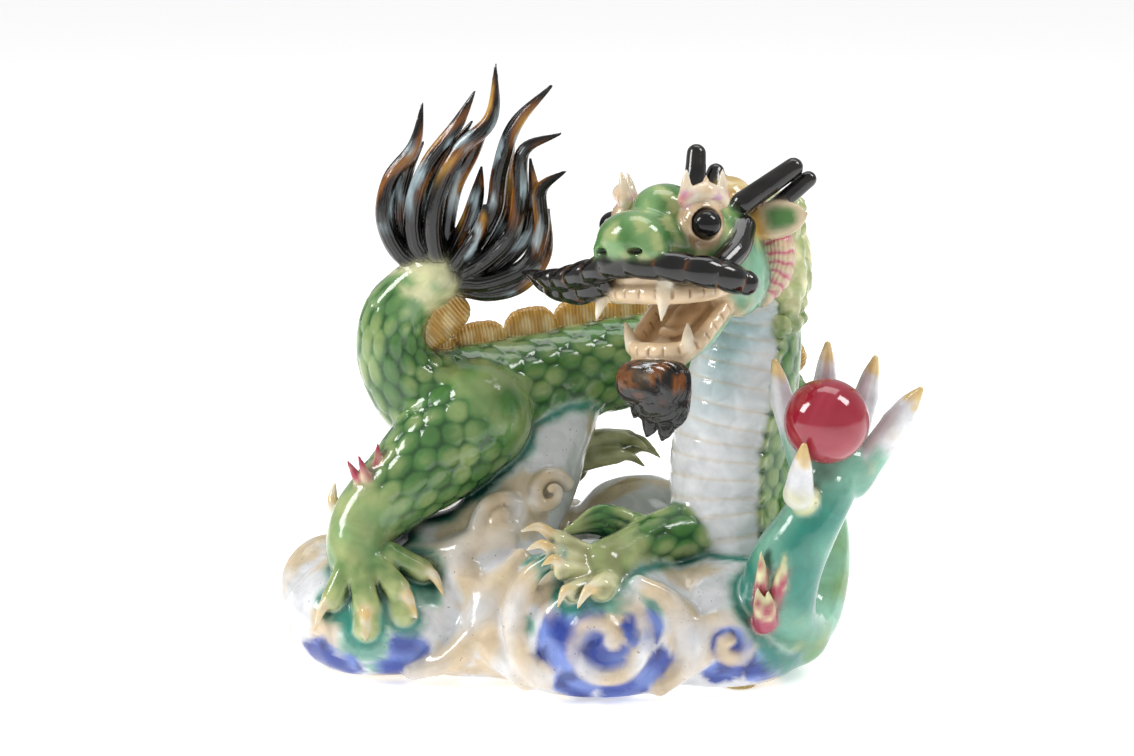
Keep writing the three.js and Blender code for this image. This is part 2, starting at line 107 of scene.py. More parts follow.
class Tube:
    """A chain of tapered segments, round or flattened across the direction `wide`."""

    def __init__(self, stations, flat=1.0, wide=(0, 0, 1), step=1.6):
        self.points = smooth_path(stations, step)
        self.flat = flat
        self.wide = unit(wide)
        centres, radii = self.points[:, :3], self.points[:, 3:]
        self.low = (centres - radii).min(0)
        self.high = (centres + radii).max(0)
        steps = np.diff(centres, axis=0)
        self.arc = np.concatenate([[0], np.cumsum(np.linalg.norm(steps, axis=1))])
        self.sides = []
        side = np.cross(steps[0], self.wide)
        side = self.wide if np.linalg.norm(side) > 0.2 * np.linalg.norm(steps[0]) else np.array([0, 0.6, 0.8])
        for step in [*steps, steps[-1]]:
            side = unit(side - unit(step) * (side @ unit(step)))
            self.sides.append(side)
        self.sides = np.array(self.sides)

    def pieces(self):
        for i in range(len(self.points) - 1):
            a, b = self.points[i], self.points[i + 1]
            reach = max(a[3], b[3])
            yield i, np.minimum(a, b)[:3] - reach, np.maximum(a, b)[:3] + reach

    def distance(self, i, x, y, z):
        """Distance to segment i, and how far along it the nearest point lies, 0 to 1."""
        a, b = self.points[i], self.points[i + 1]
        d = (b - a)[:3]
        along = ((x - a[0]) * d[0] + (y - a[1]) * d[1] + (z - a[2]) * d[2]) / max(d @ d, 1e-9)
        along = np.clip(along, 0, 1)
        qx, qy, qz = x - a[0] - along * d[0], y - a[1] - along * d[1], z - a[2] - along * d[2]
        square = qx * qx + qy * qy + qz * qz
        radius = a[3] + along * (b[3] - a[3])
        if self.flat == 1:
            return np.sqrt(square) - radius, along
        thin = unit(np.cross(d, self.wide))
        across = (qx * thin[0] + qy * thin[1] + qz * thin[2]) ** 2
        near = np.sqrt(square + across * (self.flat**-2 - 1))
        slope = np.sqrt(square + across * (self.flat**-4 - 1))
        return near * (near - radius) / np.maximum(slope, 1e-3), along

    def locate(self, places):
        """Each place's distance from the skin, length along, turn round and reach across the tube."""
        centres = self.points[:, :3]
        nearest = ((centres**2).sum(1) - 2 * places @ centres.T).argmin(1)
        best = np.full(len(places), np.inf)
        segment = np.zeros(len(places), int)
        along = np.zeros(len(places))
        offset = np.zeros((len(places), 3))
        for back in (1, 0):
            i = np.clip(nearest - back, 0, len(centres) - 2)
            run = centres[i + 1] - centres[i]
            share = np.clip(((places - centres[i]) * run).sum(1) / (run**2).sum(1), 0, 1)
            away = places - centres[i] - share[:, None] * run
            closer = (away**2).sum(1) < best
            best = np.where(closer, (away**2).sum(1), best)
            segment = np.where(closer, i, segment)
            along = np.where(closer, share, along)
            offset = np.where(closer[:, None], away, offset)
        run = unit_rows(centres[segment + 1] - centres[segment])
        side = self.sides[segment] * (1 - along)[:, None] + self.sides[segment + 1] * along[:, None]
        side = unit_rows(side - run * (side * run).sum(1)[:, None])
        up = np.cross(run, side)
        radii = self.points[:, 3]
        radius = radii[segment] + along * (radii[segment + 1] - radii[segment])
        square = (offset**2).sum(1)
        near, slope = np.sqrt(square), np.sqrt(square)
        if self.flat != 1:
            thin = (offset * unit_rows(np.cross(run, self.wide))).sum(1) ** 2
            near = np.sqrt(square + thin * (self.flat**-2 - 1))
            slope = np.sqrt(square + thin * (self.flat**-4 - 1))
        across = (offset * side).sum(1)
        arc = self.arc[segment] + along * (self.arc[segment + 1] - self.arc[segment])
        return SimpleNamespace(
            distance=near * (near - radius) / np.maximum(slope, 1e-3),
            arc=arc,
            share=arc / self.arc[-1],
            root=self.points[0, :3],
            turn=np.arctan2((offset * up).sum(1), across),
            across=across,
            outward=unit_rows(offset),
        )


class Ball:
    """An ellipsoid, or with a higher `power` a rounded block. `axes` are its radii's directions."""

    def __init__(self, centre, radii, axes=None, power=2):
        self.centre = np.asarray(centre, float)
        self.radii = np.asarray(radii, float)
        self.axes = np.eye(3) if axes is None else np.array([unit(axis) for axis in axes])
        self.power = power
        spread = self.axes * self.radii[:, None]
        reach = np.sqrt((spread**2).sum(0)) if power == 2 else np.abs(spread).sum(0)
        self.low, self.high = self.centre - reach, self.centre + reach

    def pieces(self):
        yield 0, self.low, self.high

    def distance(self, i, x, y, z):
        x, y, z = x - self.centre[0], y - self.centre[1], z - self.centre[2]
        ratio, slope = 0, 0
        for axis, radius in zip(self.axes, self.radii):
            along = np.abs(x * axis[0] + y * axis[1] + z * axis[2]) / radius
            ratio = ratio + along**self.power
            slope = slope + (along ** (self.power - 1) / radius) ** 2
        size = ratio ** (1 / self.power)
        return (size - 1) * size ** (self.power - 1) / np.maximum(np.sqrt(slope), 1e-4), None

    def locate(self, places):
        """Each place's distance from the skin, and its measures along and round the first axis."""
        local = (places - self.centre) @ self.axes.T
        return SimpleNamespace(
            distance=self.distance(0, *places.T)[0],
            arc=local[:, 0],
            share=local[:, 0] / (2 * self.radii[0]),
            root=self.centre,
            turn=np.arctan2(local[:, 2] / self.radii[2], local[:, 1] / self.radii[1]),
            across=local[:, 0],
            outward=unit_rows(local @ self.axes),
        )


# Every form of the casting in the order it is luted on: (part, form, blend, sign).
FORMS = []


def tube(part, stations, blend=1.5, sign=1, **kind):
    FORMS.append((part, Tube(stations, **kind), blend, sign))
    return FORMS[-1][1]


def ball(part, centre, radii, blend=1.5, sign=1, **kind):
    FORMS.append((part, Ball(centre, radii, **kind), blend, sign))


def claw(part, root, tip, radius, bow=(0, 0, 1), rise=2.0, blend=0.8, point=0.35):
    root, tip = np.asarray(root, float), np.asarray(tip, float)
    middle = (root + tip) / 2 + np.asarray(bow, float) * rise
    tube(part, [[*root, radius], [*middle, radius * 0.72], [*tip, point]], blend)


# ----------------------------------------
# Clouds

LOBES = [
    ((-8, 12, 10), (76, 50, 20)),
    ((-62, -4, 16), (32, 33, 22)),
    ((-80, 14, 18), (18, 21, 15)),
    ((10, -23, 17), (34, 33, 28)),
    ((50, -14, 16), (33, 34, 23)),
    ((60, 20, 15), (30, 34, 18)),
    ((26, 42, 28), (26, 24, 22)),
    ((-22, 44, 24), (28, 24, 24)),
    ((-54, 36, 18), (28, 26, 20)),
    ((-42, 2, 26), (22, 20, 22)),
]
for centre, radii in LOBES:
    ball("cloud", centre, radii, 5)
tube("column", [[-30, -2, 22, 23], [-22, 6, 40, 18], [-12, 15, 56, 15], [-3, 24, 71, 12], [3, 32, 82, 9]], 6)


def scroll(centre, radius, turns, right, rise, ridge=3.0, start=90, spin=1, bulge=0.5):
    """A raised spiral that starts `radius` from its centre and winds inwards."""
    right, rise = unit(right), unit(rise)
    out = np.cross(right, rise)
    stations = []
    for share in np.linspace(0, 1, round(turns * 10) + 1):
        reach = radius * (1 - 0.8 * share)
        turn = math.radians(start + spin * 360 * turns * share)
        point = (
            np.asarray(centre, float)
            + right * reach * math.cos(turn)
            + rise * reach * math.sin(turn)
            + out * bulge * (radius - reach)
        )
        stations.append([*point, ridge * (1 - 0.35 * share)])
    tube("scroll", stations, 4)


scroll((11, -48.5, 20), 17, 1.4, (1, 0, 0), (0, 0.25, 1), 3, 150, -1)
scroll((52, -44, 18), 9, 1.2, (1, 0.15, 0), (0, 0.2, 1), 2.6, 200, -1)
scroll((-22, -8, 49), 8, 1.3, (1, 0.5, 0), (0, 0.3, 1), 2.6, 180, -1)
scroll((-6, -2, 56), 7, 1.2, (1, 0.4, 0), (0, 0.4, 1), 2.4, 20, 1)
scroll((-40, 60, 22), 12, 1.2, (-1, 0, 0), (0, -0.2, 1), 3, 90)
scroll((14, 64, 27), 13, 1.2, (-1, 0, 0), (0, -0.2, 1), 3, 30, -1)

# Rolled rims where one billow laps over the next
RIMS = [
    [[-35, -20, 37, 2], [-29, -26, 28, 3.2], [-30, -32, 18, 3.4], [-38, -35, 9, 3], [-50, -33, 4, 2]],
    [[-15, -19, 40, 1.5], [-22, -26, 31, 3], [-25, -32, 21, 3.4], [-23, -38, 13, 3.4], [-14, -44, 5, 2.5]],
    [[-2, -45, 48, 2], [-12, -44, 40, 3], [-17, -44, 28, 3.4], [-15, -46, 17, 3.2], [-8, -49, 8, 2.6]],
    [[23, -44, 38, 2], [34, -43, 31, 3], [39, -45, 21, 3.2], [38, -47, 11, 3], [30, -48, 4, 2.2]],
    [[-92, -6, 17, 2], [-92, 4, 27, 3], [-86, 14, 32, 3], [-76, 20, 34, 2]],
    [[-20, -13, 45, 2], [-32, -15, 42, 3], [-43, -14, 38, 3], [-52, -12, 38, 2]],
    [[74, 30, 30, 2], [84, 22, 24, 3], [86, 8, 16, 3], [80, -8, 9, 2]],
    [[-10, 62, 40, 2], [-18, 66, 30, 3.2], [-14, 66, 17, 3.2], [-4, 64, 8, 2]],
    [[-70, 50, 28, 2], [-60, 58, 24, 3], [-58, 58, 14, 3], [-66, 52, 6, 2]],
]
for rim in RIMS:
    tube("scroll", rim, 6)
ball("pocket", (-28, -44, -1), (12, 14, 6), 3, -1)

# ----------------------------------------
# Body

tube(
    "neck",
    [
        [50, -3, 141, 13], [59, 3, 133, 14], [62, 7, 120, 14.5], [61, 8, 106, 16.5], [58, 6, 90, 18.5],
        [55, 5, 73, 19.3], [54, 3, 56, 19.3], [56, 1, 40, 18], [58, 4, 24, 17],
    ],
    3,
)
tube(
    "loop",
    [
        [58, 4, 24, 15], [62, 22, 20, 15.5], [69, 40, 30, 16], [74, 52, 50, 16.5], [69, 56, 72, 16.5],
        [53, 54, 87, 16.5], [32, 48, 91, 16.5], [11, 41, 90, 16.5], [-9, 32, 87, 17], [-29, 23, 84, 18],
        [-44, 17, 84, 17], [-54, 14, 92, 13.5], [-58.5, 12, 103, 11.5], [-57, 12, 114, 10.5],
        [-51, 12, 122, 9.5], [-43, 12, 127.5, 9],
    ],
    3,
)

# Fins: foot, direction of run, direction of standing, length, height
FINS = [
    ((-43, 20, 97), (1, 0.25, 0.1), (0, 0, 1), 13, 8),
    ((-29, 24, 98), (1, 0.28, 0.1), (0, 0, 1), 17, 11),
    ((-12, 31, 100.5), (1, 0.35, 0.12), (0, 0, 1), 17, 12),
    ((4, 38, 103), (1, 0.35, 0.08), (0, 0, 1), 16, 11),
    ((20, 44, 104), (1, 0.35, 0.02), (0, 0, 1), 16, 10),
    ((36, 49, 104), (1, 0.25, -0.1), (0.1, 0, 1), 15, 10),
    ((54, 54, 101), (1, 0.1, -0.45), (0.45, 0, 1), 15, 9),
    ((74, 56, 90), (0.6, 0, -1), (1, 0.1, 0.5), 15, 9),
    ((86, 54, 72), (0.1, 0, -1), (1, 0.1, 0.1), 15, 8),
    ((-43, 13, 113), (0.8, 0, 0.7), (0.6, 0, -0.8), 19, 8),
    ((72, 17, 118), (0, 0.1, -1), (0.5, 1, 0), 14, 6),
    ((72, 21, 102), (0, 0.1, -1), (0.5, 1, 0), 15, 6),
    ((70, 21, 86), (-0.1, 0, -1), (0.5, 1, 0), 15, 6),
    ((68, 20, 69), (-0.1, 0, -1), (0.5, 1, 0), 15, 6),
]
for foot, run, stand, length, height in FINS:
    run = unit(run)
    stand = unit(np.asarray(stand, float) - run * (np.asarray(stand, float) @ run))
    side = np.cross(run, stand)
    centre = np.asarray(foot, float) + stand * height * 0.05
    ball("fin", centre, (length * 0.56, height * 0.95, 2.6), 1, axes=(run, stand, side), power=3)

# ----------------------------------------
# Tail tuft

# Strands, each its stations [x, y, z, radius] from root to tip
HAIRS = [
    [
        [-44, 12, 128, 3], [-55, 10, 135, 3.2], [-60, 8, 147, 3], [-58, 8, 160, 2.6],
        [-50, 8, 171, 2.2], [-47, 8, 185, 0.5],
    ],
    [[-44, 15, 129, 3], [-53, 14, 138, 3], [-55, 13, 151, 3], [-52, 11, 163, 2], [-47, 10, 172, 0.5]],
    [
        [-43, 10, 129, 3], [-50, 8, 139, 3.2], [-50, 6, 153, 3], [-45, 6, 166, 2.6],
        [-36, 6, 178, 2.2], [-30, 6, 189, 0.5],
    ],
    [[-42, 15, 129, 3], [-46, 14, 141, 3], [-45, 13, 155, 2.8], [-39, 11, 167, 2.4], [-31, 9, 179, 0.5]],
    [
        [-41, 9, 129, 3], [-44, 6, 142, 3.2], [-42, 5, 156, 3], [-35, 5, 170, 2.8],
        [-25, 5, 180, 2.4], [-23, 5, 198, 0.5],
    ],
    [[-41, 14, 129, 3], [-40, 13, 143, 3], [-37, 12, 157, 2.8], [-31, 10, 169, 2.6], [-24, 8, 183, 0.5]],
    [
        [-39, 10, 129, 3], [-31, 8, 138, 3.2], [-24, 7, 150, 3], [-22, 6, 163, 2.8],
        [-17, 6, 178, 2.4], [-5, 6, 191, 0.6],
    ],
    [[-38, 14, 129, 3], [-28, 13, 137, 3], [-21, 12, 149, 2.8], [-20, 10, 162, 2.6], [-17, 8, 179, 0.5]],
    [
        [-37, 10, 127, 3], [-27, 7, 133, 3], [-18, 5, 143, 2.8], [-15.5, 5, 156, 2.6],
        [-14, 5, 170, 2.2], [-2, 5, 175.5, 0.5],
    ],
    [[-36, 14, 126, 3], [-24, 12, 130, 3], [-14, 11, 140, 2.8], [-11, 9, 153, 2.4], [-12, 7, 167, 0.5]],
    [
        [-36, 10, 125, 3], [-25, 7, 126, 3], [-13, 6, 132, 3], [-8.5, 6, 144, 2.6],
        [-8.5, 6, 157, 2.2], [-0.5, 6, 163, 0.5],
    ],
    [[-36, 13, 123, 3], [-26, 12, 121.5, 3.2], [-15, 10, 125, 3], [-7.5, 9, 135, 2.6], [-6, 8, 150, 0.5]],
    [
        [-40, 12, 129, 3.4], [-36, 11, 137, 3.6], [-32, 10, 146, 3.2], [-29.5, 9, 155, 2.4],
        [-28, 9, 164, 0.5],
    ],
    [[-40, 9, 128, 3], [-34, 6, 136, 3], [-29, 5, 144, 2.6], [-27, 5, 152, 0.6]],
]
ball("hair", (-41, 12, 128), (8, 8, 7), 2)
for hair in HAIRS:
    tube("hair", hair, 0.7)

# ----------------------------------------
# Head, in its own directions: forward, to the dragon's left, and up

HEAD_CENTRE = np.array([29.3, -26, 151])


def turned(vector, axis, degrees):
    """A vector turned about a frame axis, 0 to 2."""
    c, s = math.cos(math.radians(degrees)), math.sin(math.radians(degrees))
    a, b = [(1, 2), (2, 0), (0, 1)][axis]
    out = np.array(vector, float)
    out[a], out[b] = c * vector[a] - s * vector[b], s * vector[a] + c * vector[b]
    return out


FORWARD, LEFT, UP = [
    turned(turned(turned(axis, 0, -8), 1, -7), 2, -39) for axis in ((0, -1, 0), (1, 0, 0), (0, 0, 1))
]


def at_head(forward, left, up):
    return HEAD_CENTRE + forward * FORWARD + left * LEFT + up * UP


def head_ball(part, at, radii, blend=1.5, sign=1, **kind):
    ball(part, at_head(*at), radii, blend, sign, axes=(FORWARD, LEFT, UP), **kind)


def head_tube(part, stations, blend=1.5, **kind):
    return tube(part, [[*at_head(f, l, u), r] for f, l, u, r in stations], blend, **kind)


def head_claw(part, root, tip, radius, blend=0.8):
    claw(part, at_head(*root), at_head(*tip), radius, rise=0, blend=blend)


def gum(half):
    """A gum from the left corner to the middle, and the same on to the right corner."""
    head_tube("gum", half + [[f, -l, u, r] for f, l, u, r in half[-2::-1]], 1)


SIDES = (1, -1)
head_tube(
    "head",
    [[-36, 0, -3, 11], [-28, 0, -4, 17], [-12, 0, -5, 18], [2, 0, -6, 14], [11, 0, -5, 12]],
    4, flat=0.78, wide=LEFT,
)
head_ball("head", (14, 0, -5), (9.5, 12, 8.5), 2)
head_ball("head", (-3, 0, 4), (12, 10, 9), 3)
for side in SIDES:
    head_ball("head", (-25, side * 12, -16), (12, 9, 14), 4)
    head_ball("head", (15, side * 8, -8), (6, 5, 4.5), 1.2)
    head_ball("head", (21, side * 6.5, -8.5), (2.4, 2.6, 1), 0.6, -1)
    head_ball("socket", (-3, side * 14.5, 0), (8, 6.5, 8), 1.5)
head_ball("jaw", (-4, 0, -17), (18, 16, 6.5), 2)
gum([[-18, 15, -19, 3], [-5, 16, -21, 3.2], [7, 12, -22, 3.2], [12, 0, -22, 3.2]])
head_tube("jaw", [[-22, 0, -27, 14], [-10, 0, -37, 13.5], [0, 0, -43, 11]], 2, flat=0.25, wide=LEFT)
gum([[-20, 13, -24, 2.6], [-10, 13, -32, 2.6], [-1, 11, -39, 2.8], [3, 0, -40.5, 3.2]])
head_tube(
    "tongue", [[-20, 1, -24, 6], [-10, 1, -31, 5.5], [-3, 2, -34, 4], [1, 3, -33, 1.5]],
    1, flat=0.4, wide=LEFT,
)
head_claw("fang", (8, -15, -18), (10, -18, -30.5), 2.8)
head_claw("fang", (10, 10, -18), (11, 9, -30.5), 2.8)
for side in SIDES:
    head_claw("fang", (0, side * 11, -39), (2, side * 12.5, -31), 2.4)
    corner = [[-20, side * 16, -19, 2.6], [-24, side * 16.5, -23, 2.4], [-22, side * 14, -27, 2.2]]
    head_tube("gum", corner, 1)

head_tube(
    "moustache",
    [
        [-6, 29, -18.5, 4.2], [4, 24, -15.5, 4.8], [15, 8, -12.8, 4.4], [17, -5, -13.2, 4],
        [14, -18, -15.5, 4.4], [11, -33, -17.5, 3.6], [8, -50, -15, 0.7],
    ],
    1,
)
head_tube(
    "moustache", [[12, -12, -19, 3], [10, -24, -21.5, 3.8], [8, -38, -20.5, 2.6], [8, -47, -17, 0.7]], 1
)
head_ball("sideburn", (15, -2, -11.5), (6.5, 13, 3.4), 1)
for side in SIDES:
    head_tube("sideburn", [[-6, side * 20, -13, 3.8], [-14, side * 20, -8, 4.3], [-22, side * 17, -1, 4]], 1)

head_ball("beard", (5.5, 1.5, -50), (5, 13.5, 7), 0.6, power=3)
head_ball("beard", (5, 3.5, -57), (4.4, 10.5, 5.5), 1)
for left, drop in ((-6, -61), (-1, -67), (5, -68), (10, -64)):
    head_tube("beard", [[3, left, -53, 3.4], [3.5, left, drop + 4, 2.6], [5, left - 0.5, drop, 0.5]], 1)

for horn in (
    [[40, -5, 156, 3.6], [41.5, -2, 163, 3.5], [42, 1, 169.5, 3.2]],
    [[45, -2, 155, 3.2], [48.5, 4, 163, 2.9]],
    [[56, -16, 156, 3.8], [65, -14, 162, 3.5], [72.5, -12, 167, 3.2]],
    [[66, -13, 153.5, 3], [77.5, -11, 163, 2.7]],
):
    tube("horn", horn, 1)
head_ball("crest", (-37, 0, 8), (9, 8, 8), 2)
for side in SIDES:
    head_tube(
        "ear",
        [[-28, side * 15, -1, 3], [-31, side * 21, 1, 6], [-33, side * 27, 2, 5], [-34, side * 33, 3, 0.6]],
        1, flat=0.45, wide=UP,
    )
    head_tube("brow", [[2, side * 12, 8, 2.5], [-2, side * 17, 10, 3], [-9, side * 18, 8, 2.5]], 1)
    for f, l, u in ((3, 12, 17), (-2, 16, 15), (-8, 18, 17)):
        head_claw("brow", (f - 1, side * l, 7), (f, side * (l + 1), u), 2.4)
    head_tube(
        "frill",
        [
            [-36, side * 14, 4, 3.5], [-39, side * 18, -6, 5], [-38, side * 18, -16, 5],
            [-33, side * 16, -23, 3.5],
        ],
        1.5,
    )
for lock in range(5):
    turn = math.radians(-35 + 40 * lock)
    spots = [
        [61 + reach * math.cos(turn), 6 + reach * math.sin(turn), z, radius]
        for reach, z, radius in ((6, 150, 6), (12, 140, 6), (14.5, 128, 5.5), (14, 115, 2.5))
    ]
    tube("mane", spots, 1.5)
for row in range(7):
    for lock in range(7):
        turn = math.radians(-52 + 26 * (lock + 0.5 * (row % 2)))
        out = 15.5 - 0.35 * abs(row - 2)
        curl = (61 + out * math.cos(turn), 6 + out * math.sin(turn), 114 + 6.2 * row)
        ball("mane", curl, (3.4, 3.4, 3.8), 0.8)

# ----------------------------------------
# Legs


def toe(part, root, knuckle, tip, radius=4.0):
    tube(part, [[*root, radius], [*knuckle, radius * 0.95]], 1)
    claw("claw", knuckle, tip, radius * 0.6, rise=3)


def finger(part, root, knuckle, tip, radius):
    tube(part, [[*root, radius], [*knuckle, radius * 0.9]], 1.5)
    claw("nail", knuckle, tip, radius * 0.9, rise=0.5, point=1.1)


tube(
    "thigh",
    [
        [-30, 8, 80, 18], [-42, 2, 70, 17], [-55, -6, 60, 13.5], [-66, -12, 50, 11.5],
        [-68.5, -18, 41, 10.5], [-66.5, -22, 35, 9],
    ],
    3,
)
toe("hind_foot", (-71, -25, 38), (-76, -29, 28), (-82, -34, 18.5), 4.2)
toe("hind_foot", (-67, -27, 37), (-65, -33, 27.5), (-65, -41, 17.5), 4.4)
toe("hind_foot", (-62, -25, 38), (-55, -30, 31.5), (-48.5, -36, 23.5), 4.4)
toe("hind_foot", (-58, -22, 41), (-47.5, -21, 35), (-40, -27, 28), 4.2)
tube("hind_foot", [[-65, -31, 26, 4.5], [-65, -36, 20, 4]], 2)
tube("hind_foot", [[-55, -28, 29, 4.2], [-53, -33, 24, 3.8]], 2)
claw("claw", (-70, -8, 47), (-77, -2, 60), 3, (-1, 0, 0), 4)
for root, tip in (
    ((-64, -13, 56), (-72, -15, 71)), ((-63, -14, 57), (-68, -17, 73)), ((-62, -12, 58), (-62, -12, 76)),
):
    claw("flame", root, tip, 2.7, rise=0)

tube(
    "far_leg",
    [[-32, 30, 80, 15], [-30, 46, 68, 13], [-22, 52, 57, 10], [-10, 48, 53, 8.5], [0, 46, 54, 8]],
    2,
)
for i, (height, depth) in enumerate([(58, 38), (62, 43), (61, 49), (57, 54)]):
    bones = [[-2, depth + 1, 54, 4], [8 + i, depth, height, 4.2], [17 + 2 * i, depth, height + 1, 3.2]]
    tube("far_foot", bones, 1.2)
    claw("far_foot", (17 + 2 * i, depth, height + 1), (27 + 2 * i, depth - 1, height - 3), 2.2, rise=1.5)

tube("left_arm", [[46, -2, 42, 13], [34, -12, 44, 9.5], [22, -24, 43, 8], [12, -36, 41, 8.5]], 3)
tube("left_arm", [[24, -12, 44, 7], [12, -13, 50, 5], [0, -16, 47, 1.5]], 2, flat=0.6)
toe("left_hand", (8, -36, 44), (-3, -40, 51), (-15, -44, 55), 3.6)
toe("left_hand", (6, -39, 42), (-3, -44, 47), (-13, -48, 50), 3.6)
toe("left_hand", (6, -41, 40), (-1, -47, 43), (-8, -52, 46), 3.6)
toe("left_hand", (8, -42, 38), (2, -49, 37), (-3, -54, 33), 3.8)
toe("left_hand", (13, -42, 38), (11, -49, 38), (3, -56, 33), 4.4)

tube(
    "right_arm",
    [
        [64, 8, 58, 14], [76, 8, 57, 11], [83, 4, 48, 10], [84, -4, 34, 10.5], [80, -14, 20, 11],
        [75, -22, 15, 11],
    ],
    3,
)
tube(
    "right_arm",
    [[75, -23, 15, 11], [68.5, -33, 25, 12.5], [70, -38, 41, 12], [76.5, -40, 55, 10], [83, -37, 66, 9]],
    2,
)
ball("right_arm", (86, -33, 72), (13, 8, 10), 2)
finger("finger", (77, -32, 68), (69, -28, 94), (66, -33, 108), 4.2)
finger("finger", (82, -28, 72), (83, -24, 98), (83, -30, 113), 4.4)
finger("finger", (90, -28, 72), (96, -26, 95), (98, -33, 109), 4.4)
finger("finger", (92, -32, 68), (105, -34, 88), (112, -38, 100), 5.2)
finger("thumb", (79, -40, 62), (73, -50, 69), (74, -55, 86), 5.4)
claw("elbow", (63, -45, 25), (60.3, -51, 38.5), 3.6, (0, -1, 0), 2.5)
claw("elbow", (64.5, -46, 26), (63.8, -51, 37.5), 3.2, (0, -1, 0), 2)
claw("elbow", (62.5, -44, 32), (61.5, -49, 50), 3, (0, -1, 0), 2)
claw("elbow", (66.5, -46, 33), (69, -50, 48), 2.8, (0, -1, 0), 2)

ball("pocket", PEARL_CENTRE, (PEARL_POCKET,) * 3, 0.3, -1)
EYE_CENTRES = {"left_eye": at_head(0, 18.6, 0), "right_eye": at_head(0, -18.6, 0)}
for centre in EYE_CENTRES.values():
    ball("pocket", centre, (EYE_POCKET,) * 3, 0.3, -1)


# ----------------------------------------
# The field and its mesh


def soft_min(a, b, blend):
    overlap = np.maximum(blend - np.abs(a - b), 0) / blend
    return np.minimum(a, b) - overlap**2 * blend / 4


def build_field():
    """The field's values on the grid, and the grid's lowest corner."""
    lowest = np.min([form.low for _, form, _, _ in FORMS], axis=0) - 3
    highest = np.max([form.high for _, form, _, _ in FORMS], axis=0) + 3
    lowest[2] = UNDERSIDE - 3
    shape = np.ceil((highest - lowest) / VOXEL).astype(int) + 1
    lines = [lowest[i] + VOXEL * np.arange(shape[i]) for i in range(3)]
    field = np.full(shape, EMPTY, np.float32)

    def cells(corner, other, margin):
        first = np.clip(np.floor((corner - margin - lowest) / VOXEL), 0, shape - 1).astype(int)
        last = np.clip(np.ceil((other + margin - lowest) / VOXEL) + 1, 1, shape).astype(int)
        return first, last

    for _, form, blend, sign in FORMS:
        margin = blend + 2
        first, last = cells(form.low, form.high, margin)
        near = np.full(last - first, EMPTY, np.float32)
        for i, corner, other in form.pieces():
            a, b = cells(corner, other, margin)
            a, b = np.maximum(a, first), np.minimum(b, last)
            x = lines[0][a[0]:b[0]].astype(np.float32)[:, None, None]
            y = lines[1][a[1]:b[1]].astype(np.float32)[None, :, None]
            z = lines[2][a[2]:b[2]].astype(np.float32)[None, None, :]
            window = tuple(slice(a[k] - first[k], b[k] - first[k]) for k in range(3))
            near[window] = np.minimum(near[window], form.distance(i, x, y, z)[0])
        window = tuple(slice(first[k], last[k]) for k in range(3))
        if sign > 0:
            field[window] = soft_min(field[window], near, blend)
        else:
            field[window] = -soft_min(-field[window], near, blend)
    field = np.maximum(field, (UNDERSIDE - lines[2]).astype(np.float32)[None, None, :])
    return field, lowest


def mesh_of(field, lowest):
    grid = openvdb.FloatGrid(EMPTY)
    grid.copyFromArray(field)
    points, quads = grid.convertToQuads(isovalue=0)
    return points * VOXEL + lowest, quads


def new_mesh(name, points, faces):
    mesh = bpy.data.meshes.new(name)
    mesh.vertices.add(len(points))
    mesh.vertices.foreach_set("co", np.asarray(points, np.float32).ravel())
    size = faces.shape[1]
    mesh.loops.add(faces.size)
    mesh.loops.foreach_set("vertex_index", faces.astype(np.int32).ravel())
    mesh.polygons.add(len(faces))
    mesh.polygons.foreach_set("loop_start", np.arange(0, faces.size, size, dtype=np.int32))
    mesh.update(calc_edges=True)
    mesh.validate()
    return mesh


def triangles(mesh):
    mesh.calc_loop_triangles()
    return len(mesh.loop_triangles)


def placed(name, data):
    obj = bpy.data.objects.new(name, data)
    bpy.context.scene.collection.objects.link(obj)
    return obj


def thinned(obj):
    """Collapses the object's mesh to no more than MOST_TRIANGLES triangles."""
    share = MOST_TRIANGLES / triangles(obj.data)
    if share >= 1:
        return
    decimate = obj.modifiers.new("thin", "DECIMATE")
    decimate.ratio = share
    decimate.use_collapse_triangulate = True
    applied = bpy.data.meshes.new_from_object(obj.evaluated_get(bpy.context.evaluated_depsgraph_get()))
    obj.modifiers.clear()
    obj.data = applied


# ----------------------------------------
# Glazes


def tint(red, green, blue):
    """A colour that a screen shows with these 0 to 255 values, as linear light."""
    share = np.array([red, green, blue]) / 255
    return np.where(share <= 0.04045, share / 12.92, ((share + 0.055) / 1.055) ** 2.4)


WHITE = tint(226, 227, 230)
CREAM = tint(218, 198, 166)
LEAF = tint(80, 126, 66)
PALE_LEAF = tint(146, 166, 106)
DARK_LEAF = tint(20, 62, 30)
SAGE = tint(118, 156, 100)
LIME = tint(166, 178, 118)
STRAW = tint(222, 220, 172)
OLIVE = tint(150, 150, 104)
TEAL = tint(46, 132, 116)
PALE_TEAL = tint(140, 192, 168)
DEEP_TEAL = tint(6, 58, 48)
COBALT = tint(48, 72, 158)
DEEP_COBALT = tint(16, 28, 100)
PALE_COBALT = tint(118, 142, 212)
ICE = tint(196, 220, 228)
AMBER = tint(204, 158, 70)
PALE_AMBER = tint(232, 208, 150)
BROWN = tint(132, 76, 24)
BLACK = tint(12, 9, 8)
SOOT = tint(34, 31, 30)
BUFF = tint(222, 196, 160)
TAN = tint(176, 146, 112)
IVORY = tint(232, 224, 204)
NAIL = tint(222, 192, 130)
PINK = tint(206, 112, 132)
ROSE = tint(170, 56, 84)
VIOLET = tint(176, 90, 170)

BELLY = unit((-0.53, -0.85, 0))


def smooth(value, low, high):
    """0 below low, 1 above high, and an even curve between."""
    share = np.clip((value - low) / (high - low), 0, 1)
    return share * share * (3 - 2 * share)


def mix(first, second, share):
    return first + (second - first) * np.reshape(np.clip(share, 0, 1), (-1, 1))


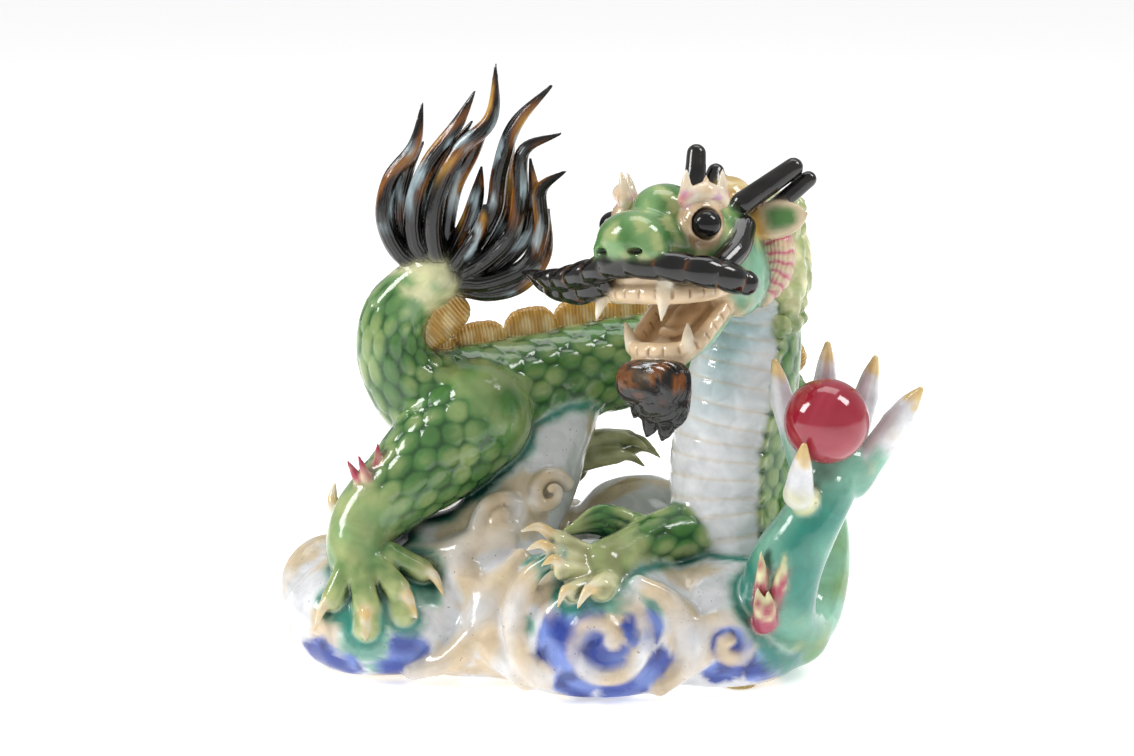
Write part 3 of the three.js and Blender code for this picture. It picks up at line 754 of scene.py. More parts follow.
def ripple(places, size, seed):
    """Soft irregular hills between about -1 and 1, `size` mm from one to the next."""
    chance = np.random.RandomState(seed)
    total = 0
    for _ in range(5):
        heading = unit(chance.normal(size=3)) * 2 * math.pi / size * chance.uniform(0.6, 1.4)
        total = total + np.sin(places @ heading + chance.uniform(0, 2 * math.pi))
    return total / 2.5


def patches(places, size, seed, low, high):
    """Irregular patches: 0 where the ripple is below low and 1 where it is above high."""
    return smooth(ripple(places, size, seed), low, high)


def scales(turn, arc, around, length):
    """Crowns of staggered rounded scales: 1 in the middle of each and 0 in the grooves."""
    places_round = turn / (2 * math.pi) * around
    rows = arc / length
    crown = np.zeros(len(arc))
    for back in (-1, 0, 1, 2):
        row = np.floor(rows) + back
        shifted = places_round - 0.5 * (row % 2)
        beside = (shifted - np.round(shifted)) / 0.68
        before = (rows - row) / 1.05
        crown = np.maximum(crown, 1 - beside**2 - before**2)
    return crown


def ridges(along, spacing, sharp=1.0):
    """Rounded ridges: 1 on each crest and 0 in the grooves between."""
    return np.abs(np.sin(math.pi * along / spacing)) ** sharp


# Each finish below gives the glaze colour at some spots and the height in mm of the relief there.


def scaly(spots, around, length, height, light, middle, dark):
    crown = 1 - (1 - scales(spots.turn, spots.arc, around, length)) * smooth(spots.arc, 0, 3)
    patchy = 0.25 * ripple(spots.places, 16, 3)
    colour = mix(middle, light, 0.8 * smooth(crown + patchy, 0.7, 1.1))
    dome = smooth(crown, 0.46, 0.86)
    return mix(dark, colour, 0.25 + 0.75 * smooth(crown + 0.3 * patchy, 0.47, 0.76)), 0.6 * height * dome


def loop_finish(spots):
    share = spots.share
    colour, relief = scaly(spots, 13, 6.6, 0.75, PALE_LEAF, LEAF, DARK_LEAF)
    bare = smooth(share, 0.93, 0.96)
    pale = mix(SAGE, STRAW, smooth(share + 0.02 * ripple(spots.places, 8, 5), 0.95, 0.985))
    colour = mix(colour, pale, 0.9 * smooth(share + 0.02 * ripple(spots.places, 12, 54), 0.92, 0.965))
    under = smooth(-spots.outward[:, 2] + 0.08 * ripple(spots.places, 9, 4), 0.8, 0.95)
    under = under * smooth(share, 0.3, 0.36) * (1 - smooth(share, 0.68, 0.72))
    return mix(colour, WHITE, 0.8 * under), relief * (1 - bare) * (1 - under)


def neck_finish(spots):
    colour, relief = scaly(spots, 15, 6.6, 0.6, PALE_LEAF, LEAF, DARK_LEAF)
    facing = spots.outward @ BELLY
    front = smooth(facing + 0.03 * ripple(spots.places, 10, 6), 0.52, 0.62)
    top = smooth(spots.places[:, 2], 128, 140)
    front = front * (1 - top)
    scute = ridges(spots.arc, 6.2, 0.5)
    band = 0.5 + 0.5 * ripple(spots.places, 24, 7)
    belly = mix(WHITE, ICE, smooth(spots.places[:, 2], 70, 118) * band)
    belly = mix(mix(belly, CREAM, 0.45), belly, smooth(scute, 0.2, 0.7))
    edge = np.exp(-(((facing - 0.52) / 0.09) ** 2)) * (1 - top)
    right = spots.outward[:, 0] > BELLY[0]
    bumps = ridges(spots.arc + 3, 7.2, 0.8)
    colour = mix(colour, mix(DARK_LEAF, LIME, smooth(bumps, 0.3, 0.9)), 0.8 * edge * right)
    relief = relief * (1 - front) + 0.55 * scute * front + 1.5 * bumps * edge * right
    return mix(mix(colour, SAGE, top), belly, front), relief


def thigh_finish(spots):
    colour, relief = scaly(spots, 12, 6.8, 0.8, PALE_LEAF, LEAF, DARK_LEAF)
    bare = smooth(spots.share + 0.05 * ripple(spots.places, 12, 8), 0.55, 0.75)
    plain = mix(SAGE, LIME, 0.5 + 0.5 * ripple(spots.places, 14, 9))
    plain = mix(plain, LEAF, 0.5 * patches(spots.places, 11, 10, 0.2, 0.8))
    return mix(colour, plain, bare), relief * (1 - bare)


def foot_finish(spots):
    return mix(LEAF, LIME, 0.3 + 0.7 * spots.share + 0.3 * ripple(spots.places, 6, 11)), 0


def claw_finish(spots):
    colour = mix(LIME, NAIL, smooth(spots.share, 0.0, 0.25))
    return mix(colour, IVORY, 0.4 + 0.4 * ripple(spots.places, 5, 55)), 0


def nail_finish(spots):
    return mix(WHITE, NAIL, smooth(spots.share + 0.1 * ripple(spots.places, 5, 12), 0.5, 0.85)), 0


def finger_finish(spots):
    colour = mix(PALE_TEAL, WHITE, smooth(spots.share + 0.15 * ripple(spots.places, 9, 13), 0.3, 0.65))
    return mix(colour, CREAM, 0.35 * patches(spots.places, 8, 14, 0.3, 0.9)), 0


def thumb_finish(spots):
    return mix(TEAL, STRAW, smooth(spots.share, 0.45, 0.7)), 0


def right_arm_finish(spots):
    height = spots.places[:, 2]
    front = smooth(-spots.places[:, 1], 14, 34)
    back = mix(SAGE, PALE_TEAL, 0.5 + 0.6 * ripple(spots.places, 18, 15))
    fore = mix(TEAL, PALE_TEAL, 0.25 + 0.6 * ripple(spots.places, 20, 16))
    colour = mix(back, fore, front)
    colour = mix(colour, SAGE, 0.8 * smooth(-height, -24, -8) * front)
    patch = patches(spots.places, 13, 17, 0.3, 0.9)
    colour = mix(colour, LIME, 0.5 * patch * smooth(-height, -34, -12))
    return mix(colour, PALE_TEAL, 0.6 * smooth(height, 58, 74)), 0


def left_arm_finish(spots):
    colour, relief = scaly(spots, 7, 9, 0.7, LIME, LEAF, DARK_LEAF)
    olive = mix(OLIVE, LIME, 0.5 + 0.5 * ripple(spots.places, 8, 18))
    bare = smooth(spots.share, 0.6, 0.85)
    return mix(colour, olive, 0.75 * bare), relief * (1 - bare)


def far_leg_finish(spots):
    colour, relief = scaly(spots, 9, 7, 0.6, LIME, LEAF, DARK_LEAF)
    return mix(colour, OLIVE, smooth(spots.share, 0.5, 0.9)), relief * (1 - smooth(spots.share, 0.5, 0.8))


def far_foot_finish(spots):
    return mix(OLIVE, STRAW, 0.3 + 0.5 * ripple(spots.places, 6, 19) + 0.3 * spots.share), 0


def fin_finish(spots):
    comb = ridges(spots.arc + 0.8 * ripple(spots.places, 9, 20), 2.3, 0.7)
    colour = mix(BROWN, AMBER, 0.65 + 0.35 * comb)
    return mix(colour, PALE_AMBER, 0.75 * patches(spots.places, 7, 21, -0.1, 0.9)), 0.3 * comb


def hair_finish(spots):
    share = spots.share
    streak = np.column_stack([0.22 * spots.arc, 1.6 * np.cos(spots.turn), 1.6 * np.sin(spots.turn)])
    streak = streak + spots.root
    spread = ripple(streak, 4.5, 22)
    warm = smooth(share, 0.36, 0.55) * (1 - smooth(share, 0.86, 0.97)) * smooth(spread, -0.2, 0.4)
    colour = mix(BLACK, mix(BROWN, AMBER, smooth(spread, 0.3, 1.1)), 0.95 * warm)
    # Pale ice-blue patches midway along the strands: partly milky glaze, partly a painted sheen for light on
    # the glossy black.
    milky_and_sheen = smooth(share, 0.3, 0.45) * (1 - smooth(share, 0.7, 0.85))
    milky_and_sheen = patches(streak, 4.0, 23, 0.35, 0.8) * milky_and_sheen
    return mix(colour, ICE, 0.7 * milky_and_sheen), 0


def braid_finish(spots):
    bead = ridges(spots.arc + 2.5 * np.sin(spots.turn) + 0.8 * ripple(spots.places, 12, 56), 9, 0.5)
    worn = (1 - smooth(bead, 0.1, 0.5)) * patches(spots.places, 6, 57, 0.1, 0.7)
    return mix(mix(SOOT, BLACK, bead), BROWN, 0.6 * worn), 0.9 * bead - 0.6


def beard_finish(spots):
    strand = ridges(spots.across + 0.5 * ripple(spots.places, 9, 25), 2.6, 0.6)
    warm = smooth(ripple(spots.places * [1, 1, 0.25], 3.5, 26), 0.1, 0.7)
    warm = warm * smooth(spots.places[:, 2], 96, 103)
    return mix(BLACK, BROWN, 0.85 * warm), 0.7 * strand - 0.2


def on_head(places):
    """How far forward, to the dragon's left and up from the head's centre each place is."""
    return [(places - HEAD_CENTRE) @ axis for axis in (FORWARD, LEFT, UP)]


def head_finish(spots):
    places = spots.places
    forward, left, up = on_head(places)
    colour = mix(SAGE, LEAF, 0.5 + 0.7 * ripple(places, 13, 27))
    colour = mix(colour, LIME, 0.9 * patches(places, 9, 28, 0.0, 0.7))
    colour = mix(colour, PALE_TEAL, 0.6 * patches(places, 10, 58, 0.3, 0.9) * smooth(-forward, -4, 6))
    cheek = smooth(np.abs(left), 12, 18) * smooth(-up, 2, 12) * smooth(-forward, 8, 18)
    colour = mix(colour, PALE_TEAL, 0.7 * cheek)
    mouth = smooth(-up, 19.5, 22) * smooth(forward + 30, 0, 8) * smooth(17 - np.abs(left), 0, 3)
    colour = mix(colour, BUFF, mouth)
    # Painted shade: the green darkened in the fold between snout and eye, where the fold is shaded.
    fold_shade = np.exp(-(((forward - 9) / 4) ** 2) - ((np.abs(left) - 11) / 5) ** 2 - ((up + 4) / 5) ** 2)
    colour = mix(colour, DARK_LEAF, 0.6 * fold_shade)
    # Painted shadow: black in the shallow nostril dents, for the shade deep inside the nostrils.
    nostril_shadow = np.exp(-(((forward - 21) / 4) ** 2) - ((np.abs(left) - 6.5) / 3) ** 2 - ((up + 8.6) / 1.2) ** 2)
    return mix(colour, BLACK, 0.95 * smooth(nostril_shadow, 0.2, 0.7)), 0


def jaw_finish(spots):
    places = spots.places
    forward, left, up = on_head(places)
    inside = smooth(up + 27 + (forward + 22) * 0.76, -1, 2)
    inner = mix(BUFF, TAN, smooth(-forward, 8, 26))
    outer = mix(SAGE, PALE_TEAL, 0.5 + 0.5 * ripple(places, 14, 29))
    return mix(outer, inner, inside * smooth(17 - np.abs(left), 0, 3)), 0


def gum_finish(spots):
    facing = 1 - smooth(np.abs(spots.outward @ UP), 0.35, 0.6)
    slit = (1 - smooth(ridges(spots.arc, 4.6, 1), 0.05, 0.3)) * facing
    return mix(BUFF, mix(TAN, BROWN, 0.6), 0.85 * slit), -0.5 * slit


def plain_finish(first, second, size, seed, mottling=0.6):
    def finish(spots):
        return mix(first, second, 0.5 + mottling * ripple(spots.places, size, seed)), 0
    return finish


def flame_finish(tip, root):
    def finish(spots):
        return mix(root, tip, smooth(spots.share + 0.2 * ripple(spots.places, 5, 30), 0.3, 0.9)), 0
    return finish


def brow_finish(spots):
    colour = mix(BUFF, IVORY, 0.5 + 0.5 * ripple(spots.places, 6, 31))
    low = smooth(-on_head(spots.places)[2], -12, -8)
    colour = mix(colour, PINK, 0.75 * patches(spots.places, 7, 32, 0.1, 0.7) * low)
    return mix(colour, VIOLET, 0.6 * patches(spots.places, 6, 33, 0.45, 0.9) * low), 0


def frill_finish(spots):
    stripe = ridges(spots.arc + 0.5 * ripple(spots.places, 6, 34), 3.6, 0.8)
    return mix(PINK, CREAM, smooth(stripe, 0.35, 0.8)), 0.5 * stripe


def mane_finish(spots):
    colour = mix(STRAW, LIME, 0.5 + 0.6 * ripple(spots.places, 8, 35))
    colour = mix(colour, PALE_LEAF, 0.7 * patches(spots.places, 5, 36, 0.2, 0.8))
    colour = mix(colour, LEAF, 0.5 * smooth(-spots.places[:, 2], -122, -112))
    return colour, 0.35 * ripple(spots.places, 3.4, 37)


def ear_finish(spots):
    hollow = smooth(spots.outward @ FORWARD, 0.2, 0.6)
    colour = mix(AMBER, CREAM, smooth(spots.share, 0.1, 0.4))
    green = hollow * smooth(spots.share, 0.2, 0.4) * (1 - smooth(spots.share, 0.75, 0.95))
    return mix(colour, LEAF, green), -0.5 * hollow


# Washes on the clouds, each a middle and a reach in mm: cobalt, and teal run down from the limbs
COBALT_WASHES = [
    ((-80, -29, 9), 9), ((-73, -33, 4), 8), ((-51, -37, 13), 9), ((-56, -36, 5), 8),
    ((-2, -54, 22), 12), ((9, -57, 16), 14), ((5, -56, 29), 9), ((25, -54, 25), 9), ((30, -51, 12), 8),
    ((18, -54, 5), 10), ((2, -53, 6), 8), ((52, -48, 18), 9), ((51, -46, 9), 8), ((64, -44, 9), 9),
    ((75, -36, 6), 8), ((-40, 62, 20), 11), ((14, 66, 24), 12), ((86, 14, 10), 10), ((-88, 22, 10), 9),
]
TEAL_WASHES = [
    ((-64, -37, 14), 9), ((-61, -36, 6), 7), ((-66, -38, 21), 9), ((-46, -24, 27), 7), ((-53, -13, 38), 9),
    ((-12, -20, 38), 6), ((-16, -42, 33), 5), ((4, -50, 42), 9), ((-6, -47, 46), 7), ((17, -51, 37), 8),
    ((27, -46, 33), 6), ((-13, -46, 24), 4.5),
]


def wash(places, washes, seed):
    """How thickly the washes lie at each place: above 0 inside an uneven edge."""
    thick = np.full(len(places), -1.0)
    for middle, reach in washes:
        thick = np.maximum(thick, 1 - np.linalg.norm(places - middle, axis=1) / reach)
    return thick + 0.14 * ripple(places, 13, seed) + 0.05 * ripple(places, 5, seed + 1)


def cloud_finish(spots):
    places = spots.places
    cream = smooth(ripple(places, 22, 38) + 0.3 * ripple(places, 7, 39), 0.0, 0.8)
    colour = mix(WHITE, CREAM, 0.9 * cream)
    thick = wash(places, TEAL_WASHES, 59)
    colour = mix(colour, mix(PALE_TEAL, TEAL, smooth(thick, 0.1, 0.5)), 0.85 * smooth(thick, 0.0, 0.25))
    thick = wash(places, COBALT_WASHES, 40)
    blue = mix(PALE_COBALT, COBALT, 0.5 + 0.8 * ripple(places, 9, 42) + 0.4 * thick)
    blue = mix(blue, DEEP_COBALT, 0.7 * patches(places, 6, 43, 0.3, 1.0))
    return mix(colour, blue, smooth(thick, 0.04, 0.26)), 0.25 * ripple(places, 14, 44)


def scroll_finish(spots):
    return mix(WHITE, CREAM, 0.7 + 0.5 * ripple(spots.places, 14, 43)), 0


black_finish = plain_finish(BLACK, SOOT, 7, 24, 0.5)
FINISHES = {
    "cloud": cloud_finish, "column": cloud_finish, "scroll": scroll_finish,
    "neck": neck_finish, "loop": loop_finish, "fin": fin_finish, "hair": hair_finish,
    "head": head_finish, "jaw": jaw_finish, "gum": gum_finish, "tongue": plain_finish(TAN, BUFF, 9, 60),
    "socket": plain_finish(BUFF, TAN, 9, 45), "fang": plain_finish(IVORY, CREAM, 8, 46),
    "moustache": braid_finish, "sideburn": black_finish, "beard": beard_finish, "horn": black_finish,
    "crest": plain_finish(AMBER, PALE_AMBER, 7, 47), "ear": ear_finish, "brow": brow_finish,
    "frill": frill_finish, "mane": mane_finish, "thigh": thigh_finish, "hind_foot": foot_finish,
    "claw": claw_finish, "nail": nail_finish, "flame": flame_finish(ROSE, CREAM),
    "far_leg": far_leg_finish, "far_foot": far_foot_finish, "left_arm": left_arm_finish,
    "left_hand": far_foot_finish, "right_arm": right_arm_finish, "finger": finger_finish,
    "thumb": thumb_finish, "elbow": flame_finish(STRAW, ROSE),
}
CLOUDS = ("cloud", "column", "scroll")
RUNNY = ("thigh", "hind_foot", "left_arm", "left_hand", "right_arm", "neck", "loop", "far_leg", "far_foot")
COMBED = {"fin": 1.0, "hair": 0.6, "beard": 1.0, "frill": 0.5}
SPECKLED = ("cloud", "column", "scroll", "finger", "right_arm", "hind_foot", "head")
REACH = 8.0  # mm from a form's skin within which its glaze still counts
SOFTNESS = 0.45  # mm over which one glaze gives way to the next
CREASE = 2.4  # mm from the skin at which creases are felt for


def keep_only(spots, chosen):
    for key, value in list(vars(spots).items()):
        if key != "root":
            setattr(spots, key, value[chosen])


def closed_in(places, normals):
    """How walled in each place is: 0 on open skin, towards 1 in a tight crease."""
    probe = (places + CREASE * normals - lowest) / VOXEL
    cell = np.clip(np.floor(probe), 0, np.array(field.shape) - 2).astype(int)
    share = np.clip(probe - cell, 0, 1)
    room = 0
    for corner in np.ndindex(2, 2, 2):
        weight = np.abs(1 - np.array(corner) - share).prod(1)
        room = room + weight * field[tuple((cell + corner).T)]
    return np.clip(1 - room / CREASE, 0, 1)


def dressed(places, normals):
    """The relief, glaze with painted crease shade, combing and speckling at places on the casting's skin."""
    nearest = np.full(len(places), REACH)
    limb_gap = np.full(len(places), REACH)
    found = []
    for part, form, _, sign in FORMS:
        if sign < 0:
            continue
        which = np.nonzero(((places > form.low - REACH) & (places < form.high + REACH)).all(1))[0]
        if not len(which):
            continue
        spots = form.locate(places[which])
        close = spots.distance < REACH
        keep_only(spots, close)
        which = which[close]
        spots.places = places[which]
        spots.distance = spots.distance + 0.25 * ripple(spots.places, 6, len(found))
        nearest[which] = np.minimum(nearest[which], spots.distance)
        if part in RUNNY:
            limb_gap[which] = np.minimum(limb_gap[which], spots.distance)
        found.append((part, which, spots))
    total = np.zeros(len(places))
    relief, comb, combing, speckling, cloudy, runny = np.zeros((6, len(places)))
    colour = np.zeros((len(places), 3))
    for part, which, spots in found:
        weight = np.exp((nearest[which] - spots.distance) / SOFTNESS)
        strong = weight > 0.01
        if not strong.any():
            continue
        which, weight = which[strong], weight[strong]
        keep_only(spots, strong)
        glaze, height = FINISHES[part](spots)
        np.add.at(colour, which, glaze * weight[:, None])
        relief[which] += height * weight
        total[which] += weight
        combing[which] += COMBED.get(part, 0) * weight
        speckling[which] += (part in SPECKLED) * weight
        cloudy[which] += (part in CLOUDS) * weight
        runny[which] += (part in RUNNY) * weight
        comb[which] = np.where(weight > 0.6, spots.across, comb[which])
    total = np.maximum(total, 1e-6)
    colour /= total[:, None]
    cloudy = cloudy / total
    # Darker colour in creases: partly glaze pooled thicker there, partly painted shade where the crease is
    # shaded.
    crease_pool_and_shade = smooth(closed_in(places, normals), 0.2, 0.8)
    run = smooth(1 - limb_gap / REACH + 0.2 * ripple(places, 15, 48), 0.25, 0.8) * cloudy
    colour = mix(colour, mix(PALE_TEAL, TEAL, smooth(run, 0.3, 0.9)), run)
    # Painted crease shade with pooled glaze: deep teal in cloud creases by the limbs, dark green in the
    # limbs' own creases.
    colour = mix(colour, DEEP_TEAL, run * crease_pool_and_shade)
    colour = mix(colour, mix(DARK_LEAF, DEEP_TEAL, 0.5), 0.9 * crease_pool_and_shade * runny / total)
    return relief / total, colour, comb, combing / total, speckling / total


def normals_of(points, quads):
    """Unit normals at the points of a mesh of quads."""
    first, second = points[quads[:, 2]] - points[quads[:, 0]], points[quads[:, 3]] - points[quads[:, 1]]
    facing = np.cross(first, second)
    total = np.zeros_like(points)
    for corner in range(4):
        for axis in range(3):
            total[:, axis] += np.bincount(quads[:, corner], facing[:, axis], len(points))
    return unit_rows(total)


field, lowest = build_field()
points, quads = mesh_of(field, lowest)
points = np.asarray(points, float)
facing = normals_of(points, quads)
relief = dressed(points, facing)[0] * smooth(points[:, 2], UNDERSIDE + 0.5, UNDERSIDE + 3)
for centre, radius in [(PEARL_CENTRE, PEARL_CLEAR), *((eye, EYE_CLEAR) for eye in EYE_CENTRES.values())]:
    relief *= smooth(np.linalg.norm(points - centre, axis=1), radius, radius + 1)
points += facing * relief[:, None]
casting = placed("dragon_casting", new_mesh("dragon_casting", points / 1000, quads))
thinned(casting)
mesh = casting.data
mesh.polygons.foreach_set("use_smooth", np.ones(len(mesh.polygons), bool))
places, facing = np.zeros((2, len(mesh.vertices) * 3), np.float32)
mesh.vertices.foreach_get("co", places)
mesh.vertex_normals.foreach_get("vector", facing)
places = places.reshape(-1, 3).astype(float) * 1000
_, colour, comb, combing, speckling = dressed(places, facing.reshape(-1, 3))
mesh.vertices.foreach_set("co", ((places + SHIFT) / 1000).astype(np.float32).ravel())
mesh.update()
layer = mesh.attributes.new("glaze", "FLOAT_COLOR", "POINT")
painted = np.column_stack([np.clip(colour, 0, 1), speckling])
layer.data.foreach_set("color", painted.astype(np.float32).ravel())
for name, values in (("comb", comb), ("combing", combing)):
    layer = mesh.attributes.new(name, "FLOAT", "POINT")
    layer.data.foreach_set("value", values.astype(np.float32))

# ----------------------------------------
# Materials


class Nodes:
    """One material's node tree, built by name."""

    def __init__(self, name):
        self.material = bpy.data.materials.new(name)
        self.material.use_nodes = True
        self.tree = self.material.node_tree
        self.shader = self.tree.nodes["Principled BSDF"]

    def add(self, kind, settings=(), **inputs):
        node = self.tree.nodes.new(kind)
        for key, value in dict(settings).items():
            setattr(node, key, value)
        for key, value in inputs.items():
            self.set(node.inputs[int(key[1:]) if key[1:].isdigit() else key.replace("_", " ")], value)
        return node

    def set(self, socket, value):
        if isinstance(value, bpy.types.NodeSocket):
            self.tree.links.new(value, socket)
        else:
            socket.default_value = value

    def maths(self, operation, first, second=0.0):
        return self.add("ShaderNodeMath", {"operation": operation}, _0=first, _1=second).outputs[0]

    def noise(self, scale, detail=2.0, distortion=0.0):
        place = self.add("ShaderNodeTexCoord").outputs["Object"]
        return self.add(
            "ShaderNodeTexNoise", Vector=place, Scale=scale, Detail=detail, Distortion=distortion
        ).outputs["Fac"]

    def between(self, value, low, high, to_low=0.0, to_high=1.0):
        node = self.add("ShaderNodeMapRange", Value=value)
        for key, number in (("From Min", low), ("From Max", high), ("To Min", to_low), ("To Max", to_high)):
            node.inputs[key].default_value = number
        return node.outputs[0]

    def blend(self, first, second, share, kind="MIX"):
        node = self.add("ShaderNodeMix", {"data_type": "RGBA", "blend_type": kind})
        for index, value in ((0, share), (6, first), (7, second)):
            self.set(node.inputs[index], value)
        return node.outputs[2]

    def attribute(self, name, output="Fac"):
        return self.add("ShaderNodeAttribute", {"attribute_name": name}).outputs[output]

    def finish(self, color=None, roughness=None, bumps=(), **constants):
        if color is not None:
            self.set(self.shader.inputs["Base Color"], color)
        if roughness is not None:
            self.set(self.shader.inputs["Roughness"], roughness)
        normal = None
        for height, distance in bumps:
            bump = self.add("ShaderNodeBump", Height=height, Distance=distance)
            if normal:
                self.set(bump.inputs["Normal"], normal)
            normal = bump.outputs[0]
        if normal:
            self.set(self.shader.inputs["Normal"], normal)
        for key, value in constants.items():
            self.shader.inputs[key.replace("_", " ")].default_value = value
        return self.material


def poured_glaze():
    """Coloured glazes that ran and pooled over the clay, with painted crease shade, iron specks and combed
    lines.
    """
    nodes = Nodes("poured_glaze")
    painted = nodes.attribute("glaze", "Color")
    cloudy = nodes.between(nodes.noise(140, 4, 0.6), 0.3, 0.7, 0.82, 1.12)
    grey = nodes.add("ShaderNodeCombineColor", _0=cloudy, _1=cloudy, _2=cloudy).outputs[0]
    colour = nodes.blend(painted, grey, 1.0, "MULTIPLY")
    line = nodes.maths("MULTIPLY", nodes.attribute("comb"), 5.2)
    line = nodes.maths("ADD", line, nodes.maths("MULTIPLY", nodes.noise(160, 2), 5.0))
    line = nodes.between(nodes.maths("SINE", line), -1, 1)
    combed = nodes.maths("MULTIPLY", line, nodes.attribute("combing"))
    colour = nodes.blend(colour, (0.3, 0.2, 0.1, 1), nodes.maths("MULTIPLY", combed, 0.35), "MULTIPLY")
    specks = nodes.between(nodes.noise(900, 1), 0.73, 0.78)
    specks = nodes.maths("MULTIPLY", specks, nodes.attribute("glaze", "Alpha"))
    colour = nodes.blend(colour, (0.12, 0.07, 0.03, 1), nodes.maths("MULTIPLY", specks, 0.6))
    roughness = nodes.between(nodes.noise(60, 3), 0.3, 0.7, 0.06, 0.2)
    bumps = [(nodes.noise(70, 2), 0.0006), (nodes.noise(420, 2), 0.00008), (combed, 0.0003)]
    return nodes.finish(colour, roughness, bumps, Coat_Weight=0.3, Coat_Roughness=0.03, IOR=1.5)


def bead_glaze(name, deep, pale, size, coat=0.5, specular=0.5):
    """One glossy colour over a bead, thinner and paler in patches, with a few pinholes."""
    nodes = Nodes(name)
    colour = nodes.blend((*deep, 1), (*pale, 1), nodes.between(nodes.noise(size, 3, 1.0), 0.35, 0.75))
    pinhole = nodes.between(nodes.noise(1200, 1), 0.76, 0.8)
    colour = nodes.blend(colour, (0.02, 0.01, 0.01, 1), nodes.maths("MULTIPLY", pinhole, 0.5))
    roughness = nodes.between(nodes.noise(150, 3), 0.3, 0.7, 0.04, 0.13)
    bumps = [(nodes.noise(120, 2), 0.0002), (nodes.noise(500, 2), 0.00004)]
    return nodes.finish(
        colour, roughness, bumps, Coat_Weight=coat, Coat_Roughness=0.03, IOR=1.5, Specular_IOR_Level=specular
    )


def aged_rubber():
    """Clear bumper pads gone yellow, with dust on them."""
    nodes = Nodes("aged_rubber")
    dust = nodes.between(nodes.noise(700, 4), 0.45, 0.7)
    colour = nodes.blend((0.62, 0.45, 0.13, 1), (0.74, 0.66, 0.45, 1), dust)
    roughness = nodes.between(dust, 0, 1, 0.25, 0.5)
    bumps = [(nodes.noise(900, 3), 0.00005)]
    return nodes.finish(colour, roughness, bumps, Transmission_Weight=0.3, IOR=1.45)


def paper():
    nodes = Nodes("paper")
    grain = nodes.between(nodes.noise(30, 3), 0, 1, 0.93, 0.95)
    colour = nodes.add("ShaderNodeCombineColor", _0=grain, _1=grain, _2=grain).outputs[0]
    roughness = nodes.between(grain, 0.9, 1, 0.6, 0.7)
    return nodes.finish(
        colour, roughness, Specular_IOR_Level=0.2, Emission_Color=(1, 1, 1, 1), Emission_Strength=0.5
    )


casting.data.materials.append(poured_glaze())
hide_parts("dragon_on_clouds")
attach(casting, "root")

# ----------------------------------------
# Beads and feet


def middle_of(node):
    low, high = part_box(node)
    return (np.asarray(low) + np.asarray(high)) / 2, (np.asarray(high) - np.asarray(low)) / 2


def piece(name, bm, material, node):
    mesh = bpy.data.meshes.new(name)
    bm.to_mesh(mesh)
    bm.free()
    obj = placed(name, mesh)
    mesh.polygons.foreach_set("use_smooth", np.ones(len(mesh.polygons), bool))
    mesh.materials.append(material)
    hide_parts(node)
    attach(obj, "root")


def bead(node, material, slot, unevenness, seed):
    """A hand-rolled ball, out of true by `unevenness` of its radius."""
    centre, half = middle_of(node)
    bm = bmesh.new()
    bmesh.ops.create_icosphere(bm, subdivisions=5, radius=1)
    ways = np.array([vert.co for vert in bm.verts])
    reach = 1 - unevenness * (0.5 + 0.5 * ripple(ways, 2.2, seed))
    for vert, way, share in zip(bm.verts, ways, reach):
        vert.co = centre + way * share * half
    piece(node + "_bead", bm, material, node)


def bumper(node, material):
    """A moulded pad: a flat-topped dome with a rounded rim, seen from below as a shallow cup."""
    centre, half = middle_of(node)
    radius, height = half[0], half[2]
    profile = [
        (0, 0.72), (0.3, 0.76), (0.62, 0.92), (0.7, 1.0), (0.8, 1.0), (0.9, 0.9), (0.97, 0.6), (1, 0.2),
    ]
    rings = [(share, -depth) for share, depth in profile] + [(0.99, 0.6), (0.97, 1), (0, 1)]
    bm = bmesh.new()
    verts = [bm.verts.new(centre + [share * radius, 0, level * height]) for share, level in rings]
    for a, b in zip(verts, verts[1:]):
        bm.edges.new((a, b))
    outline = bm.verts[:] + bm.edges[:]
    bmesh.ops.spin(bm, geom=outline, cent=centre, axis=(0, 0, 1), angle=2 * math.pi, steps=48)
    bmesh.ops.remove_doubles(bm, verts=bm.verts, dist=1e-6)
    bmesh.ops.recalc_face_normals(bm, faces=bm.faces)
    piece(node + "_pad", bm, material, node)


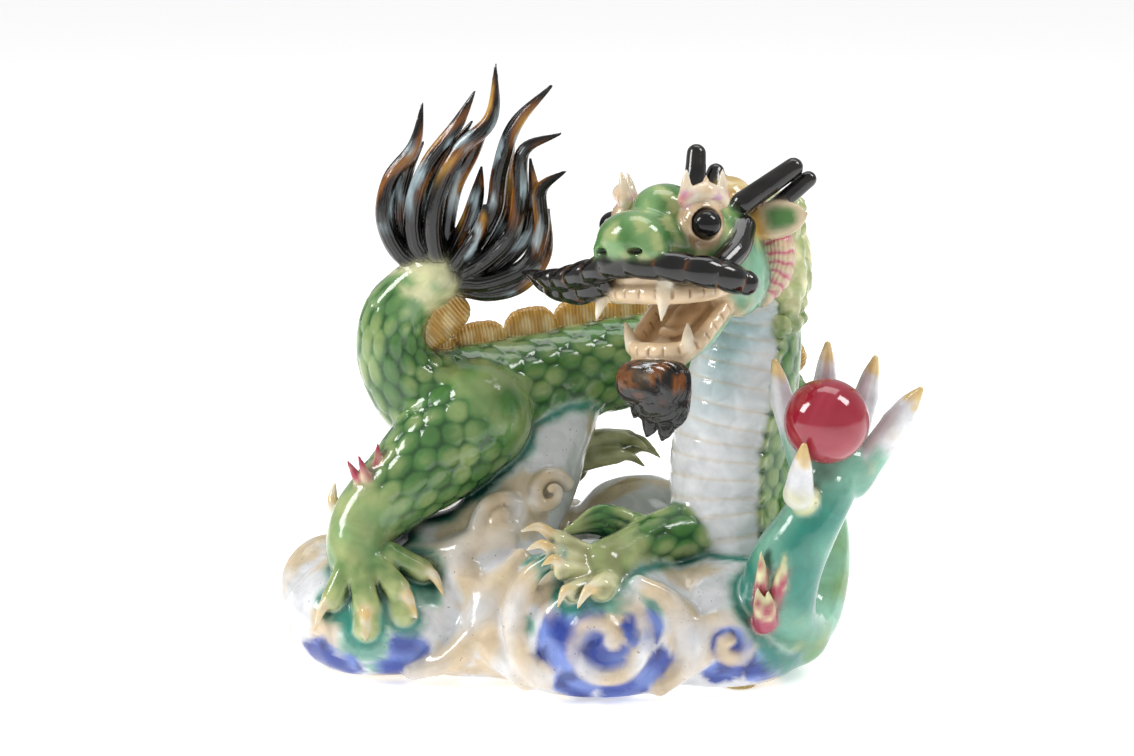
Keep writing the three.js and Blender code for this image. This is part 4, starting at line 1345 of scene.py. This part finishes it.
crimson = bead_glaze("pearl_glaze", (0.31, 0.012, 0.03), (0.4, 0.045, 0.075), 45)
bead("pearl", crimson, "pearl_glaze", 0.006, 50)
for side, node in enumerate(EYE_CENTRES):
    glaze = bead_glaze(node + "_glaze", (0.004, 0.004, 0.005), (0.012, 0.01, 0.01), 200, 0, 0.4)
    bead(node, glaze, "eye_glaze", 0.01, 51 + side)
rubber = aged_rubber()
for node in ("foot_front_left", "foot_front_right", "foot_back_left", "foot_back_right"):
    bumper(node, rubber)

# ----------------------------------------
# Stage, lights and camera

bpy.ops.mesh.primitive_plane_add(size=8)
floor = bpy.context.object
floor.name = "floor"
floor.data.materials.append(paper())

world = bpy.data.worlds.new("studio")
bpy.context.scene.world = world
world.use_nodes = True
world.node_tree.nodes["Background"].inputs["Color"].default_value = (1, 1, 1, 1)
world.node_tree.nodes["Background"].inputs["Strength"].default_value = 0.45
bpy.context.scene.view_settings.view_transform = "Standard"

MIDDLE = np.array([0, 0, 0.09])


def softbox(name, towards, reach, size, power):
    """A lamp `reach` metres from the figure's middle, facing it."""
    light = bpy.data.lights.new(name, "AREA")
    light.shape = "RECTANGLE"
    light.size, light.size_y = size
    light.energy = power
    lamp = placed(name, light)
    x, y, z = unit(towards)
    lamp.location = MIDDLE + np.array([x, y, z]) * reach
    lamp.rotation_euler = (math.acos(z), 0, math.atan2(y, x) + math.pi / 2)


softbox("left_window", (-0.8, -0.12, 0.59), 1.1, (0.34, 0.5), 7)
softbox("right_window", (0.62, -0.12, 0.75), 1.1, (0.3, 0.45), 5)
softbox("overhead", (0.1, 0.3, 1), 1.3, (0.9, 0.5), 3.5)

ELEVATION = math.radians(13)
CAMERA_REACH = 0.936
AIM = np.array([0, 0, 95.0])  # mm in the sculpture's frame
camera = bpy.data.cameras.new("camera")
camera.lens = 90
camera.sensor_width = 36
camera.clip_start = 0.05
eye = placed("camera", camera)
target = (AIM + SHIFT) / 1000
eye.location = target + CAMERA_REACH * np.array([0, -math.cos(ELEVATION), math.sin(ELEVATION)])
eye.rotation_euler = (math.pi / 2 - ELEVATION, 0, 0)
bpy.context.scene.camera = eye
